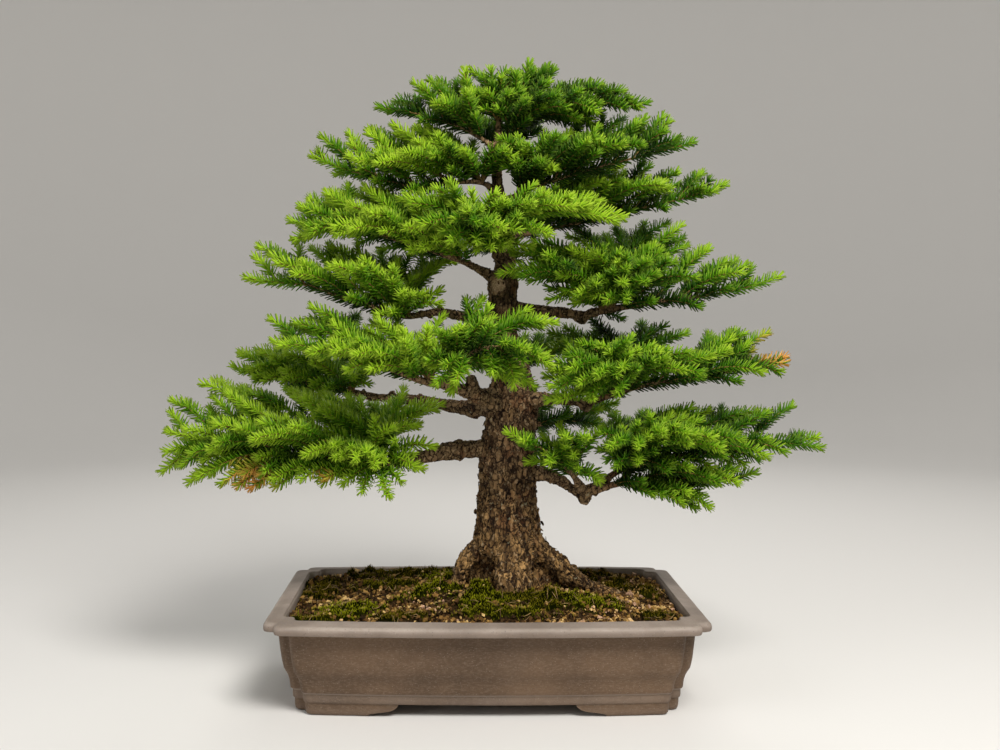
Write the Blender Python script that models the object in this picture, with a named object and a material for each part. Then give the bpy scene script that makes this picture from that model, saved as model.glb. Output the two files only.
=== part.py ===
"""A conifer bonsai, an upright tree with tiered sprays, in an unglazed clay pot with notched corners.

Lengths are millimetres until a mesh is made. X is to the right, Y to the back and Z up from the ground.
"""

import math
import random

import bmesh
import bpy
import numpy as np
from mathutils.kdtree import KDTree

MM = 0.001
SEED = 7
GAP = 0.4  # between pieces that touch
SHIFT_X, SHIFT_Y = -12.0, -14.0  # puts the middle of the whole tree and pot over the origin

# The pot.
POT_LENGTH = 500.0
POT_DEPTH = 345.0
POT_BOW = 9.0  # how far the long sides swell between their ends
NOTCH_X, NOTCH_Y = 14.0, 17.0
CORNER_RADIUS, INNER_RADIUS = 8.0, 4.0
FOOT_HEIGHT = 14.7
FOOT_LENGTH_X, FOOT_LENGTH_Y = 79.0, 62.0
FOOT_INSET = 37.0
FOOT_WALL = 24.0
CUT_DEPTH = 5.0  # how far each cut starts outside what it cuts
# Each step of the cloud-shaped cut beside a foot: how far past the foot's end, and how high.
FOOT_STEPS = (
    (0.0, 0.0), (1.5, 2.6), (9.0, 4.2), (21.0, 6.0), (28.0, 8.0), (33.0, 11.5), (34.5, FOOT_HEIGHT),
)
# The pot's section, as how far inside the rim's edge and how high, from the foot up and over to the floor.
OUTER_SECTION = (
    (46.0, 0.0), (39.0, 3.6), (FOOT_INSET, 13.6), (35.4, 15.2), (34.6, 25.4), (32.0, 27.6),
    (30.8, 38.0), (24.5, 50.5), (21.0, 64.0), (17.2, 98.3),
)
RIM_SECTION = ((1.2, 98.3), (0.0, 101.0), (0.0, 105.6), (2.8, 108.3), (24.0, 111.0))
INNER_SECTION = ((29.5, 57.0), (40.0, 31.0), (46.0, 25.0))
DRAIN_RADIUS = 12.0
DRAIN_X = 105.0
DRAIN_SIDES = 16
SCREEN_SIDE, SCREEN_PITCH, SCREEN_HOLE, SCREEN_THICK = 38.0, 16.0, 13.0, 1.2

# The soil.
SOIL_INSET = 26.3  # from the rim's edge
SOIL_RINGS = (0.0, 0.14, 0.4, 0.76)
SOIL_EDGE, SOIL_FRONT_RISE = 99.0, 6.0
SOIL_MOUND = 23.0
MOUND_X, MOUND_REACH_X, MOUND_REACH_Y = 30.0, 125.0, 105.0
# The heights of the two waves that make its soft lumps.
LUMP_HEIGHTS = (1.28, 0.88)
HOLE_FLOOR = 92.0

# The trunk, as height, middle x, middle y and radius, from its cut foot in the soil to its leader.
TRUNK = (
    (HOLE_FLOOR + GAP, 36, 0, 58), (124, 36, 0, 58), (133, 36, 0, 55), (146, 35, 0, 49),
    (160, 33, 0, 44.5),
    (178, 31, 0, 41), (202, 28, -1, 37.5), (228, 28, -2, 34.5), (282, 29, -2, 34),
    (306, 31, -2, 31), (328, 33, -2, 31), (350, 32, -2, 32), (368, 34, -2, 25), (385, 35, -2, 20),
    (420, 26, -2, 15.5), (452, 21, -2, 16), (474, 22, -3, 17), (492, 23, -3, 17.5), (510, 25, -3, 12.5),
    (535, 25, -3, 11.5), (590, 19, 0, 8), (625, 15, 0, 6.2), (679, 17, 0, 4.2),
)
TRUNK_SIDES = 18
TRUNK_DEPTH = 0.92  # of its width
# Each root of the flare: its direction in degrees, how far it stands out and half its width in degrees.
ROOTS = (
    (180, 17, 24), (352, 20, 17), (232, 9, 20), (272, 12, 16), (308, 7, 18), (125, 12, 22), (55, 14, 22),
)
FLARE_TOP, FLARE_FOOT = 215.0, 124.0
FLARE_POWER = 2.2
FLARE_HOLLOW = 6.0  # how far the foot draws in between its roots
BARK_RELIEF = 1.3
# Each wave of the bark: how many run round the trunk, its length up the trunk and its phase.
BARK_WAVES = ((5, 17.0, 0.0), (8, -11.0, 1.3), (3, 29.0, 0.6))
FULL_BARK_RADIUS = 25.0  # thinner wood has shallower bark

# Each cut-back stub: its foot, its tip and its two radii.
STUBS = (
    ((120, -30, 240), (119, -36, 224), 8.5, 5.0),
    ((114, -44, 348), (124, -50, 338), 7.0, 4.5),
    ((113, -14, 451), (124, -17, 443), 7.5, 4.5),
    ((-14, -64, 362), (-18, -72, 380), 8.0, 5.0),
    ((45, -1, 322), (62, 4, 326), 8.0, 4.0),
)
STUB_SIDES = 6
STUB_SHOULDER = (0.55, 0.95)  # how far along a stub's shoulder is, and its radius as a share of the foot's

# Each leafy limb: its radii at the trunk and where the leaves start, how much of it is bare, its route
# and the tips of its shoots. A tip's fourth value says where along the limb the shoot grows, if it is told.
LIMBS = {
    "left_low": dict(
        radii=(11.0, 6.5), bare=118,
        route=((5, -2, 288), (-45, -12, 285), (-90, -25, 276), (-140, -35, 275), (-200, -40, 280),
               (-265, -40, 290), (-335, -30, 300), (-388, -20, 310)),
        tips=((-380, 20, 343), (-350, 62, 368), (-320, -75, 322), (-385, 5, 268),
              (-355, -50, 255), (-280, -65, 250), (-268, -125, 312), (-250, 72, 350), (-212, -105, 292),
              (-190, -85, 264), (-155, -125, 288), (-172, 55, 342), (-62, 30, 340, 0.36),
              (-70, -70, 298, 0.32), (-118, -108, 246), (-88, -90, 276, 0.3)),
    ),
    "left_back": dict(
        radii=(9.0, 5.0), bare=208,
        route=((18, 4, 332), (-35, 40, 336), (-85, 70, 342), (-145, 95, 345), (-180, 110, 352),
               (-220, 120, 358), (-275, 118, 370), (-332, 102, 385)),
        tips=((-330, 140, 402), (-312, 172, 405), (-258, 68, 402), (-258, 200, 388),
              (-205, 215, 385), (-207, 42, 352), (-150, 178, 375), (-170, 55, 372, 0.5)),
    ),
    "left_front": dict(
        radii=(12.5, 5.0), bare=128,
        route=((28, -8, 340), (-20, -66, 360), (-42, -86, 369), (-70, -110, 375), (-100, -120, 386),
               (-130, -125, 398), (-170, -120, 408), (-215, -102, 416), (-250, -85, 420)),
        tips=((-228, -35, 440), (-205, 8, 445), (-200, -150, 410), (-172, -182, 412), (-175, -80, 438),
              (-158, -165, 392), (-140, -45, 442), (-100, -150, 432), (-72, -140, 436, 0.38),
              (-56, -75, 450, 0.36)),
    ),
    "front_low": dict(
        radii=(6.0, 4.0), bare=26,
        route=((-42, -86, 369), (-38, -110, 390), (-18, -125, 408), (10, -135, 415), (45, -150, 408),
               (70, -165, 394)),
        tips=((2, -72, 468), (80, -120, 440), (0, -158, 440), (-30, -175, 432), (12, -76, 392),
              (45, -192, 412), (58, -100, 368)),
    ),
    "left_mid": dict(
        radii=(7.0, 4.0), bare=120,
        route=((22, -4, 445), (-30, -30, 450), (-55, -45, 455), (-95, -60, 450), (-130, -70, 460),
               (-165, -75, 470), (-205, -70, 485), (-250, -60, 490), (-288, -50, 495)),
        tips=((-265, -22, 530), (-245, -95, 512), (-215, -20, 532), (-175, -125, 508),
              (-135, 42, 535), (-110, -50, 516), (-45, 25, 520, 0.36), (-62, -85, 466, 0.28),
              (-130, -100, 445), (-100, -110, 478, 0.36)),
    ),
    "left_upper": dict(
        radii=(7.0, 3.4), bare=58,
        route=((22, -4, 490), (-15, -35, 510), (-60, -60, 525), (-110, -75, 540), (-160, -70, 553),
               (-200, -60, 558), (-235, -50, 563)),
        tips=((-225, -85, 540), (-218, -20, 593), (-212, -62, 582), (-180, 35, 603), (-160, -105, 576),
              (-175, -110, 544), (-140, 62, 602), (-95, -20, 585)),
    ),
    "front_centre": dict(
        radii=(6.5, 3.6), bare=52,
        route=((25, -3, 516), (5, -50, 533), (-12, -90, 545), (-20, -125, 555), (-25, -165, 565)),
        tips=((-98, -92, 586, 0.42), (-18, -120, 590), (8, -134, 588), (48, -145, 576),
              (110, -122, 575, 0.36), (155, -98, 565, 0.32), (15, -178, 546), (66, -152, 542),
              (48, -88, 532, 0.3), (-72, -152, 552), (-42, -152, 535)),
    ),
    "left_high": dict(
        radii=(5.0, 3.2), bare=20,
        route=((20, -1, 597), (-2, -12, 612), (-35, -20, 612), (-80, -25, 606), (-120, -30, 613),
               (-170, -22, 628), (-213, -15, 645)),
        tips=((-198, 22, 663), (-170, -12, 672), (-145, 32, 685), (-115, -20, 682), (-85, 28, 686),
              (-55, 48, 682), (-155, -75, 632), (-100, -82, 640), (-52, -62, 648), (-120, 72, 665)),
    ),
    "left_top": dict(
        radii=(3.6, 2.6), bare=16,
        route=((17, 0, 652), (-5, -5, 668), (-40, -10, 684), (-90, -15, 698), (-133, -10, 705)),
        tips=((-115, 22, 718), (-90, -8, 734), (-60, 27, 745), (-30, -5, 750), (-65, -55, 702),
              (-30, -60, 714), (-55, 62, 715)),
    ),
    "apex": dict(
        radii=(4.2, 4.2), bare=0,
        route=((17, 0, 679.7), (19, 0, 715), (20, 0, 757)),
        tips=((2, 12, 752), (37, -10, 748), (45, 16, 732), (2, -30, 724), (28, -36, 722), (-10, 26, 736),
              (22, 38, 730)),
    ),
    "right_top": dict(
        radii=(3.8, 2.6), bare=16,
        route=((16, 0, 648), (40, 5, 678), (70, 10, 702), (110, 10, 714), (160, 5, 714), (203, 0, 710)),
        tips=((178, 22, 730), (145, -20, 727), (125, 28, 740), (90, -2, 750), (70, 27, 754), (135, -57, 692),
              (90, -62, 708), (125, 68, 715), (78, 78, 724)),
    ),
    "right_high": dict(
        radii=(4.6, 3.2), bare=16,
        route=((18, 0, 588), (62, -18, 608), (105, -30, 620), (155, -30, 634), (205, -20, 648),
               (258, -10, 663)),
        tips=((230, 22, 683), (200, -15, 690), (180, 28, 698), (185, -78, 650), (130, -88, 656),
              (85, -72, 660), (45, -45, 662), (165, 78, 678)),
    ),
    "right_upper": dict(
        radii=(5.5, 3.4), bare=30,
        route=((25, -2, 545), (75, 30, 558), (140, 42, 572), (205, 36, 588), (260, 26, 600), (303, 16, 614)),
        tips=((280, 36, 630), (240, -8, 626), (215, 48, 640), (120, -22, 604), (100, 72, 614),
              (185, 98, 648), (145, -28, 588), (215, -48, 606)),
    ),
    "right_mid": dict(
        radii=(9.0, 5.0), bare=112,
        route=((24, -2, 456), (85, -10, 455), (120, -16, 451), (140, -20, 456), (220, -20, 469),
               (275, -12, 476), (325, -4, 486), (368, 5, 500)),
        tips=((320, 26, 520), (308, -50, 502), (285, 32, 535), (245, -95, 495), (250, 88, 553),
              (220, 112, 573), (135, -78, 522), (185, -120, 488), (135, 95, 558),
              (95, -45, 528, 0.38), (42, -38, 525, 0.35), (25, -75, 500, 0.33)),
    ),
    "right_low": dict(
        radii=(8.5, 4.4), bare=112,
        route=((30, -6, 346), (85, -30, 350), (118, -46, 347), (142, -50, 354), (190, -50, 368),
               (260, -36, 376), (320, -12, 388), (372, 0, 400)),
        tips=((353, -46, 385), (338, 46, 420), (290, -52, 410), (248, -110, 386), (255, 96, 430),
              (205, 82, 425), (175, -122, 411), (150, 72, 440, 0.38), (112, -98, 422, 0.36),
              (95, -168, 392, 0.34), (127, -162, 386, 0.37)),
    ),
    "right_long": dict(
        radii=(6.0, 4.0), bare=28,
        route=((128, -33, 240), (162, -30, 264), (192, -40, 275), (245, -50, 285), (305, -40, 293),
               (365, -20, 297), (412, 0, 301)),
        tips=((353, -70, 292), (368, 40, 320), (320, 66, 317), (295, -102, 308), (260, -117, 312),
              (260, 46, 325), (215, 86, 332), (188, 70, 318), (142, -148, 305, 0.16),
              (190, -112, 312)),
    ),
    "right_bottom": dict(
        radii=(9.0, 4.4), bare=126,
        route=((34, -2, 266), (85, -20, 254), (116, -29, 236), (140, -35, 244), (170, -36, 250),
               (215, -34, 248), (270, -30, 250), (332, -20, 260)),
        tips=((265, -72, 228), (297, -76, 256), (275, 42, 248), (222, 55, 252)),
    ),
    "front_right": dict(
        radii=(5.0, 3.6), bare=22,
        route=((118, -31, 240), (98, -60, 268), (70, -85, 293), (20, -110, 318)),
        tips=((66, -42, 305), (65, -122, 286), (106, -142, 316), (84, -66, 320), (124, -92, 262),
              (48, -60, 280)),
    ),
    "back_low": dict(
        radii=(6.5, 4.0), bare=66,
        route=((33, 4, 312), (62, 72, 310), (110, 125, 311), (158, 170, 320)),
        tips=((75, 112, 332), (120, 152, 338), (195, 188, 330), (88, 152, 288), (148, 188, 296),
              (72, 180, 308)),
    ),
    "back_mid": dict(
        radii=(6.0, 3.6), bare=50,
        route=((32, 3, 376), (50, 80, 390), (80, 140, 397), (104, 200, 405)),
        tips=((132, 152, 412), (100, 222, 398), (80, 170, 424), (45, 190, 396), (22, 142, 408),
              (-2, 168, 402)),
    ),
    "back_high": dict(
        radii=(5.5, 3.4), bare=36,
        route=((25, 2, 514), (10, 80, 540), (-15, 140, 563), (-35, 190, 578)),
        tips=((-72, 150, 590), (-58, 198, 602), (0, 208, 600), (32, 172, 592), (66, 132, 580),
              (-95, 112, 572)),
    ),
    "back_top": dict(
        radii=(4.0, 2.8), bare=16,
        route=((16, 1, 634), (30, 50, 658), (40, 95, 684), (50, 135, 703)),
        tips=((76, 110, 710), (55, 118, 728), (24, 140, 724), (-6, 108, 708), (86, 142, 694),
              (8, 148, 694)),
    ),
}

# Needles and shoots.
NEEDLE_LENGTH = 11.5
NEEDLE_FOOT = 1.5  # a needle's foot along its shoot
NEEDLE_ANGLE = math.radians(52)  # from the shoot's direction
NEEDLE_LIFT = 0.12  # how much each needle turns up towards the light
ANGLE_SPREAD, LENGTH_SPREAD = (0.85, 1.15), (0.88, 1.05)
NEEDLE_RADIUS = 0.8
NEEDLE_STOPS = (0.15, 0.4, 0.7, 1.0)  # where along a needle its room is tested
BUD_LENGTH = 0.55 * NEEDLE_LENGTH  # the point that ends each shoot
WHORL_GAP = 34.0
WHORL_PLACE = 0.55  # of the way along its stretch of the shoot
MOST_WHORLS = 3
FIRST_WHORL = 10.0  # clear of the limb's surface
SHOOT_RADII = (1.25, 0.85)
SHOOT_ANGLE = math.radians(48)  # between a shoot and its limb
SHOOT_ARCH = 0.16
SHOOT_LEAN = 0.28  # how much a shoot's first half runs along its limb
SHOOT_SIDES = 3
CORE_SIDES = 4
LIMB_SIDES = 6
MOST_SAG = 0.9  # of a limb's smooth way from the straight stretches between its rings
LEAST_RING_GAP = 6.0
CORE_TIP_RADIUS = 1.7
TERMINAL_SHARE = 0.62  # where along the leafy part the limb's own last shoot starts
LEADER_OVERLAP = 9.0  # how far that shoot's foot lies inside the core
LEADER_FIRST = 16.0
LAST_ROOT_SHARE = 0.93  # of the leafy part, past which no shoot starts
CLEARANCE = 0.9
NUDGE, MOST_NUDGES = 4.0, 7
CROWD_STEP = 2.5  # between the balls that stand for a piece

COLOURS = {
    "pot": ((0.115, 0.095, 0.078), 0.85),
    "soil": ((0.105, 0.082, 0.045), 0.95),
    "screen": ((0.03, 0.03, 0.03), 0.6),
    "wood": ((0.175, 0.128, 0.09), 0.9),
    "needles": ((0.16, 0.3, 0.045), 0.5),
}


def clear_scene():
    for thing in list(bpy.data.objects):
        bpy.data.objects.remove(thing)


def material(name):
    colour, roughness = COLOURS[name]
    made = bpy.data.materials.get(name) or bpy.data.materials.new(name)
    made.use_nodes = True
    shader = made.node_tree.nodes["Principled BSDF"]
    shader.inputs["Base Color"].default_value = (*colour, 1.0)
    shader.inputs["Roughness"].default_value = roughness
    shader.inputs["Metallic"].default_value = 0.0
    made.diffuse_color = (*colour, 1.0)
    return made


def mesh_object(name, points, faces, finish, collection=None):
    """An object from points in millimetres, shifted to the part's own origin."""
    mesh = bpy.data.meshes.new(name)
    placed = (np.asarray(points, float) + (SHIFT_X, SHIFT_Y, 0.0)) * MM
    mesh.from_pydata(placed.tolist(), [], faces)
    mesh.materials.append(material(finish))
    mesh.validate()
    made = bpy.data.objects.new(name, mesh)
    (collection or bpy.context.scene.collection).objects.link(made)
    return made


def loft(rings, sides):
    """Points and faces of a closed solid through rings of points, foot to top, anticlockwise."""
    points = [p for ring in rings for p in ring]
    faces = [list(range(sides))[::-1]]
    for k in range(len(rings) - 1):
        low, high = k * sides, (k + 1) * sides
        for i in range(sides):
            j = (i + 1) % sides
            faces.append((low + i, low + j, high + j, high + i))
    faces.append([(len(rings) - 1) * sides + i for i in range(sides)])
    return points, faces


def combine(body, collection, operation):
    """Joins a collection's objects to a body, or cuts them from it, and removes them."""
    modifier = body.modifiers.new("combine", "BOOLEAN")
    modifier.operation = operation
    modifier.solver = "EXACT"
    modifier.operand_type = "COLLECTION"
    modifier.collection = collection
    graph = bpy.context.evaluated_depsgraph_get()
    made = bpy.data.meshes.new_from_object(body.evaluated_get(graph))
    body.modifiers.remove(modifier)
    body.data = made
    for thing in list(collection.objects):
        bpy.data.objects.remove(thing)
    bpy.data.collections.remove(collection)


def new_collection(name):
    made = bpy.data.collections.new(name)
    bpy.context.scene.collection.children.link(made)
    return made


def arc(middle, radius, start, end, count):
    """Points of an arc, with its angles in degrees."""
    angles = np.radians(np.linspace(start, end, count))
    return [(middle[0] + radius * math.cos(a), middle[1] + radius * math.sin(a)) for a in angles]


def pot_outline(inset, convex=3, concave=2, along=2):
    """The notched outline this far inside the rim's edge, anticlockwise from the right-hand side."""
    half_x = POT_LENGTH / 2 - inset
    half_y = POT_DEPTH / 2 - POT_BOW - inset
    step_x, step_y = half_x - NOTCH_X, half_y - NOTCH_Y
    quarter = arc((half_x - CORNER_RADIUS, step_y - CORNER_RADIUS), CORNER_RADIUS, 0, 90, convex)
    quarter += arc((step_x + INNER_RADIUS, step_y + INNER_RADIUS), INNER_RADIUS, 270, 180, concave)
    quarter += arc((step_x - CORNER_RADIUS, half_y - CORNER_RADIUS), CORNER_RADIUS, 0, 90, convex)
    reach = step_x - CORNER_RADIUS
    side = [(x, half_y) for x in np.linspace(reach, -reach, along + 2)[1:-1]]
    top = quarter + side + [(-x, y) for x, y in reversed(quarter)]
    outline = top + [(-x, -y) for x, y in top]
    bowed = []
    for x, y in outline:
        swell = POT_BOW * max(0.0, 1 - (x / reach) ** 2)
        bowed.append((x, y + math.copysign(swell, y) if abs(y) > step_y else y))
    return bowed


def pot_rings(section):
    return [[(x, y, z) for x, y in pot_outline(inset)] for inset, z in section]


def cloud_cutter(name, reach, half_gap, along_x, collection):
    """A bar under the pot whose ends rise in the cloud shape, which parts the feet on two sides."""
    right = [(half_gap - past, z) for past, z in FOOT_STEPS]
    profile = [(half_gap, -CUT_DEPTH)] + right
    outline = profile + [(-across, z) for across, z in reversed(profile)]
    points = []
    for end in (-reach, reach):
        points += [(across, end, z) if along_x else (end, across, z) for across, z in outline]
    count = len(outline)
    faces = [list(range(count)), [count + i for i in range(count)][::-1]]
    faces += [(i, count + i, count + (i + 1) % count, (i + 1) % count) for i in range(count)]
    cutter = mesh_object(name, points, faces, "pot", collection)
    face_out(cutter)
    return cutter


def face_out(thing):
    """Turns every face of a closed mesh outwards."""
    work = bmesh.new()
    work.from_mesh(thing.data)
    bmesh.ops.recalc_face_normals(work, faces=work.faces)
    work.to_mesh(thing.data)
    work.free()


def box(name, low, high, collection):
    outline = ((low[0], low[1]), (high[0], low[1]), (high[0], high[1]), (low[0], high[1]))
    points, faces = loft([[(x, y, z) for x, y in outline] for z in (low[2], high[2])], 4)
    return mesh_object(name, points, faces, "pot", collection)


def disc(name, middle, low, high, radius, sides, collection):
    outline = arc(middle, radius, 0, 360 * (1 - 1 / sides), sides)
    points, faces = loft([[(x, y, z) for x, y in outline] for z in (low, high)], sides)
    return mesh_object(name, points, faces, "pot", collection)


def make_pot():
    section = OUTER_SECTION + RIM_SECTION + INNER_SECTION
    rings = pot_rings(section)
    points, faces = loft(rings, len(rings[0]))
    pot = mesh_object("pot", points, faces, "pot")
    cuts = new_collection("pot_cuts")
    half_x, half_y = POT_LENGTH / 2, POT_DEPTH / 2
    cloud_cutter("front_cloud", half_y, half_x - FOOT_INSET - FOOT_LENGTH_X, True, cuts)
    cloud_cutter("side_cloud", half_x, half_y - FOOT_INSET - FOOT_LENGTH_Y, False, cuts)
    inner_x = half_x - FOOT_INSET - FOOT_WALL
    inner_y = half_y - POT_BOW - FOOT_INSET - FOOT_WALL
    box("underside", (-inner_x, -inner_y, -CUT_DEPTH), (inner_x, inner_y, FOOT_HEIGHT), cuts)
    low, high = FOOT_HEIGHT - CUT_DEPTH, INNER_SECTION[-1][1] + CUT_DEPTH
    for side in (-1, 1):
        disc("drain", (side * DRAIN_X, 0), low, high, DRAIN_RADIUS, DRAIN_SIDES, cuts)
    combine(pot, cuts, "DIFFERENCE")


def make_screens():
    """A square mesh over each drain hole, flat on the pot's floor."""
    floor = INNER_SECTION[-1][1] + GAP
    half = SCREEN_SIDE / 2
    for side, name in ((-1, "drain_screen_left"), (1, "drain_screen_right")):
        middle = side * DRAIN_X
        cuts = new_collection("screen_cuts")
        screen = box(name, (middle - half, -half, floor), (middle + half, half, floor + SCREEN_THICK), None)
        screen.data.materials[0] = material("screen")
        low_z, high_z = floor - CUT_DEPTH, floor + CUT_DEPTH
        r = SCREEN_HOLE / 2
        for x in (middle - SCREEN_PITCH / 2, middle + SCREEN_PITCH / 2):
            for y in (-SCREEN_PITCH / 2, SCREEN_PITCH / 2):
                box("mesh_hole", (x - r, y - r, low_z), (x + r, y + r, high_z), cuts)
        combine(screen, cuts, "DIFFERENCE")


def flare(angle, height):
    """How far the roots stand out of the trunk in this direction at this height."""
    if height > FLARE_TOP:
        return 0.0
    share = min(1.0, (FLARE_TOP - height) / (FLARE_TOP - FLARE_FOOT)) ** FLARE_POWER
    out = 0.0
    for heading, stand, width in ROOTS:
        off = (angle - heading + 180) % 360 - 180
        out += stand * math.exp(-((off / width) ** 2))
    return share * (out - FLARE_HOLLOW)


def bark(angle, height):
    """Low plates of bark, by a fixed rule."""
    a = math.radians(angle)
    waves = [math.sin(count * a + height / length + phase) for count, length, phase in BARK_WAVES]
    return BARK_RELIEF * sum(waves) / len(waves)


def trunk_row(height, x, y, radius, spread=0.0):
    """One ring of the trunk."""
    row = []
    for i in range(TRUNK_SIDES):
        angle = 360 * i / TRUNK_SIDES
        relief = bark(angle, max(height, FLARE_FOOT)) * min(1.0, radius / FULL_BARK_RADIUS)
        out = radius + flare(angle, max(height, FLARE_FOOT)) + relief + spread
        a = math.radians(angle)
        row.append((x + out * math.cos(a), y + TRUNK_DEPTH * out * math.sin(a), height))
    return row


def soil_height(x, y):
    """The soil's surface: low along the walls, mounded round the trunk, with soft lumps."""
    across, back = x / (POT_LENGTH / 2), y / (POT_DEPTH / 2)
    base = SOIL_EDGE + SOIL_FRONT_RISE * max(0.0, -back) ** 2
    hill = SOIL_MOUND * math.exp(-(((x - MOUND_X) / MOUND_REACH_X) ** 2) - (y / MOUND_REACH_Y) ** 2)
    lumps = LUMP_HEIGHTS[0] * math.sin(x / 19 + 0.7) * math.cos(y / 16)
    lumps += LUMP_HEIGHTS[1] * math.sin(x / 9 - y / 12)
    return base + hill + lumps * (1 - max(abs(across), abs(back)) ** 6)


def make_soil():
    """The soil bed, with a plain hole that the trunk's foot stands in and a low pocket over each screen."""
    rings = []
    for inset, z in reversed(INNER_SECTION):
        low = z + GAP if z < INNER_SECTION[0][1] else z
        rings.append([(x, y, low) for x, y in pot_outline(inset + GAP)])
    wall = pot_outline(SOIL_INSET)
    for share in SOIL_RINGS:
        spots = [(x + (TRUNK[0][1] - x) * share, y * (1 - share)) for x, y in wall]
        rings.append([(x, y, soil_height(x, y)) for x, y in spots])
    points, faces = loft(rings, len(wall))
    soil = mesh_object("soil", points, faces, "soil")
    hollows = new_collection("hollows")
    floor = INNER_SECTION[-1][1]
    half = SCREEN_SIDE / 2 + GAP
    low, high = floor - CUT_DEPTH, floor + SCREEN_THICK + 2 * GAP
    for side in (-1, 1):
        box("pocket", (side * DRAIN_X - half, -half, low), (side * DRAIN_X + half, half, high), hollows)
    outline = [(x, y) for x, y, _ in trunk_row(*TRUNK[0], spread=GAP)]
    rows = [[(x, y, z) for x, y in outline] for z in (HOLE_FLOOR, SOIL_EDGE + 2 * SOIL_MOUND)]
    points, faces = loft(rows, TRUNK_SIDES)
    mesh_object("hole", points, faces, "soil", hollows)
    combine(soil, hollows, "DIFFERENCE")


class Path:
    """A smooth curve through points, read by its length, with a frame that doesn't twist."""

    def __init__(self, points, smooth=True):
        points = np.asarray(points, float)
        if smooth and len(points) > 2:
            points = self.through(points)
        steps = np.linalg.norm(np.diff(points, axis=0), axis=1)
        self.points = points
        self.at_length = np.concatenate([[0.0], np.cumsum(steps)])
        self.length = self.at_length[-1]

    @staticmethod
    def through(points, per_span=12):
        ends = np.vstack([2 * points[0] - points[1], points, 2 * points[-1] - points[-2]])
        made = []
        for a, b, c, d in zip(ends[:-3], ends[1:-2], ends[2:-1], ends[3:]):
            for t in np.arange(per_span) / per_span:
                made.append(0.5 * (2 * b + (c - a) * t + (2 * a - 5 * b + 4 * c - d) * t**2
                                   + (3 * b - a - 3 * c + d) * t**3))
        return np.array(made + [points[-1]])

    def at(self, s):
        return np.array([np.interp(s, self.at_length, self.points[:, k]) for k in range(3)])

    def heading(self, s):
        step = min(2.0, self.length / 4)
        ahead = self.at(min(self.length, s + step)) - self.at(max(0.0, s - step))
        return ahead / np.linalg.norm(ahead)

    def frames(self, lengths):
        """At each length: the place, the heading and two directions across it."""
        across = np.cross(self.heading(lengths[0]), (0.13, 0.31, 0.94))
        made = []
        for s in lengths:
            ahead = self.heading(s)
            across = across - ahead * np.dot(across, ahead)
            across = across / np.linalg.norm(across)
            made.append((self.at(s), ahead, across, np.cross(ahead, across)))
        return made


def stops(path, start, end):
    """The fewest ring places between two lengths that keep straight stretches close to the smooth way."""
    made = [start]
    dense = np.arange(start, end, 3.0)[1:]
    for k, s in enumerate(dense):
        a, b = path.at(made[-1]), path.at(s)
        along = (b - a) / np.linalg.norm(b - a)
        off = path.at((made[-1] + s) / 2) - a
        sag = np.linalg.norm(off - along * np.dot(off, along))
        if sag > MOST_SAG and s - made[-1] > LEAST_RING_GAP:
            made.append(dense[k - 1])
    if end - made[-1] < LEAST_RING_GAP and len(made) > 1:
        made.pop()
    return made + [end]


def tube(path, lengths, radii, sides):
    """A closed tube along a path."""
    rings = []
    for (place, _, side, other), radius in zip(path.frames(lengths), radii):
        turns = [2 * math.pi * k / sides for k in range(sides)]
        rings.append([place + radius * (math.cos(a) * side + math.sin(a) * other) for a in turns])
    return loft(rings, sides)


def limb_radius(limb, path, s):
    """A limb's radius: thick at the trunk, then slower to its leafy end."""
    thick, leafy = limb["radii"]
    if s < limb["bare"]:
        return leafy + (thick - leafy) * (1 - s / limb["bare"]) ** 1.3
    share = (s - limb["bare"]) / (path.length - limb["bare"])
    return leafy + (CORE_TIP_RADIUS - leafy) * min(1.0, share / TERMINAL_SHARE) ** 0.8


class Crowd:
    """The places already taken by other pieces, as balls."""

    def __init__(self):
        self.places, self.radii = [], []
        self.settle()

    def add(self, places, radii):
        self.places += [tuple(p) for p in places]
        self.radii += list(radii)
        self.settle()

    def settle(self):
        self.tree = KDTree(len(self.places))
        for k, place in enumerate(self.places):
            self.tree.insert(place, k)
        self.tree.balance()
        self.widest = max(self.radii, default=0.0)

    def meets(self, places, radius):
        reach = radius + CLEARANCE
        for place in places:
            for _, index, distance in self.tree.find_range(tuple(place), reach + self.widest):
                if distance < reach + self.radii[index]:
                    return True
        return False


def needle_places(foot, tip):
    return [foot + (tip - foot) * share for share in NEEDLE_STOPS]


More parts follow.
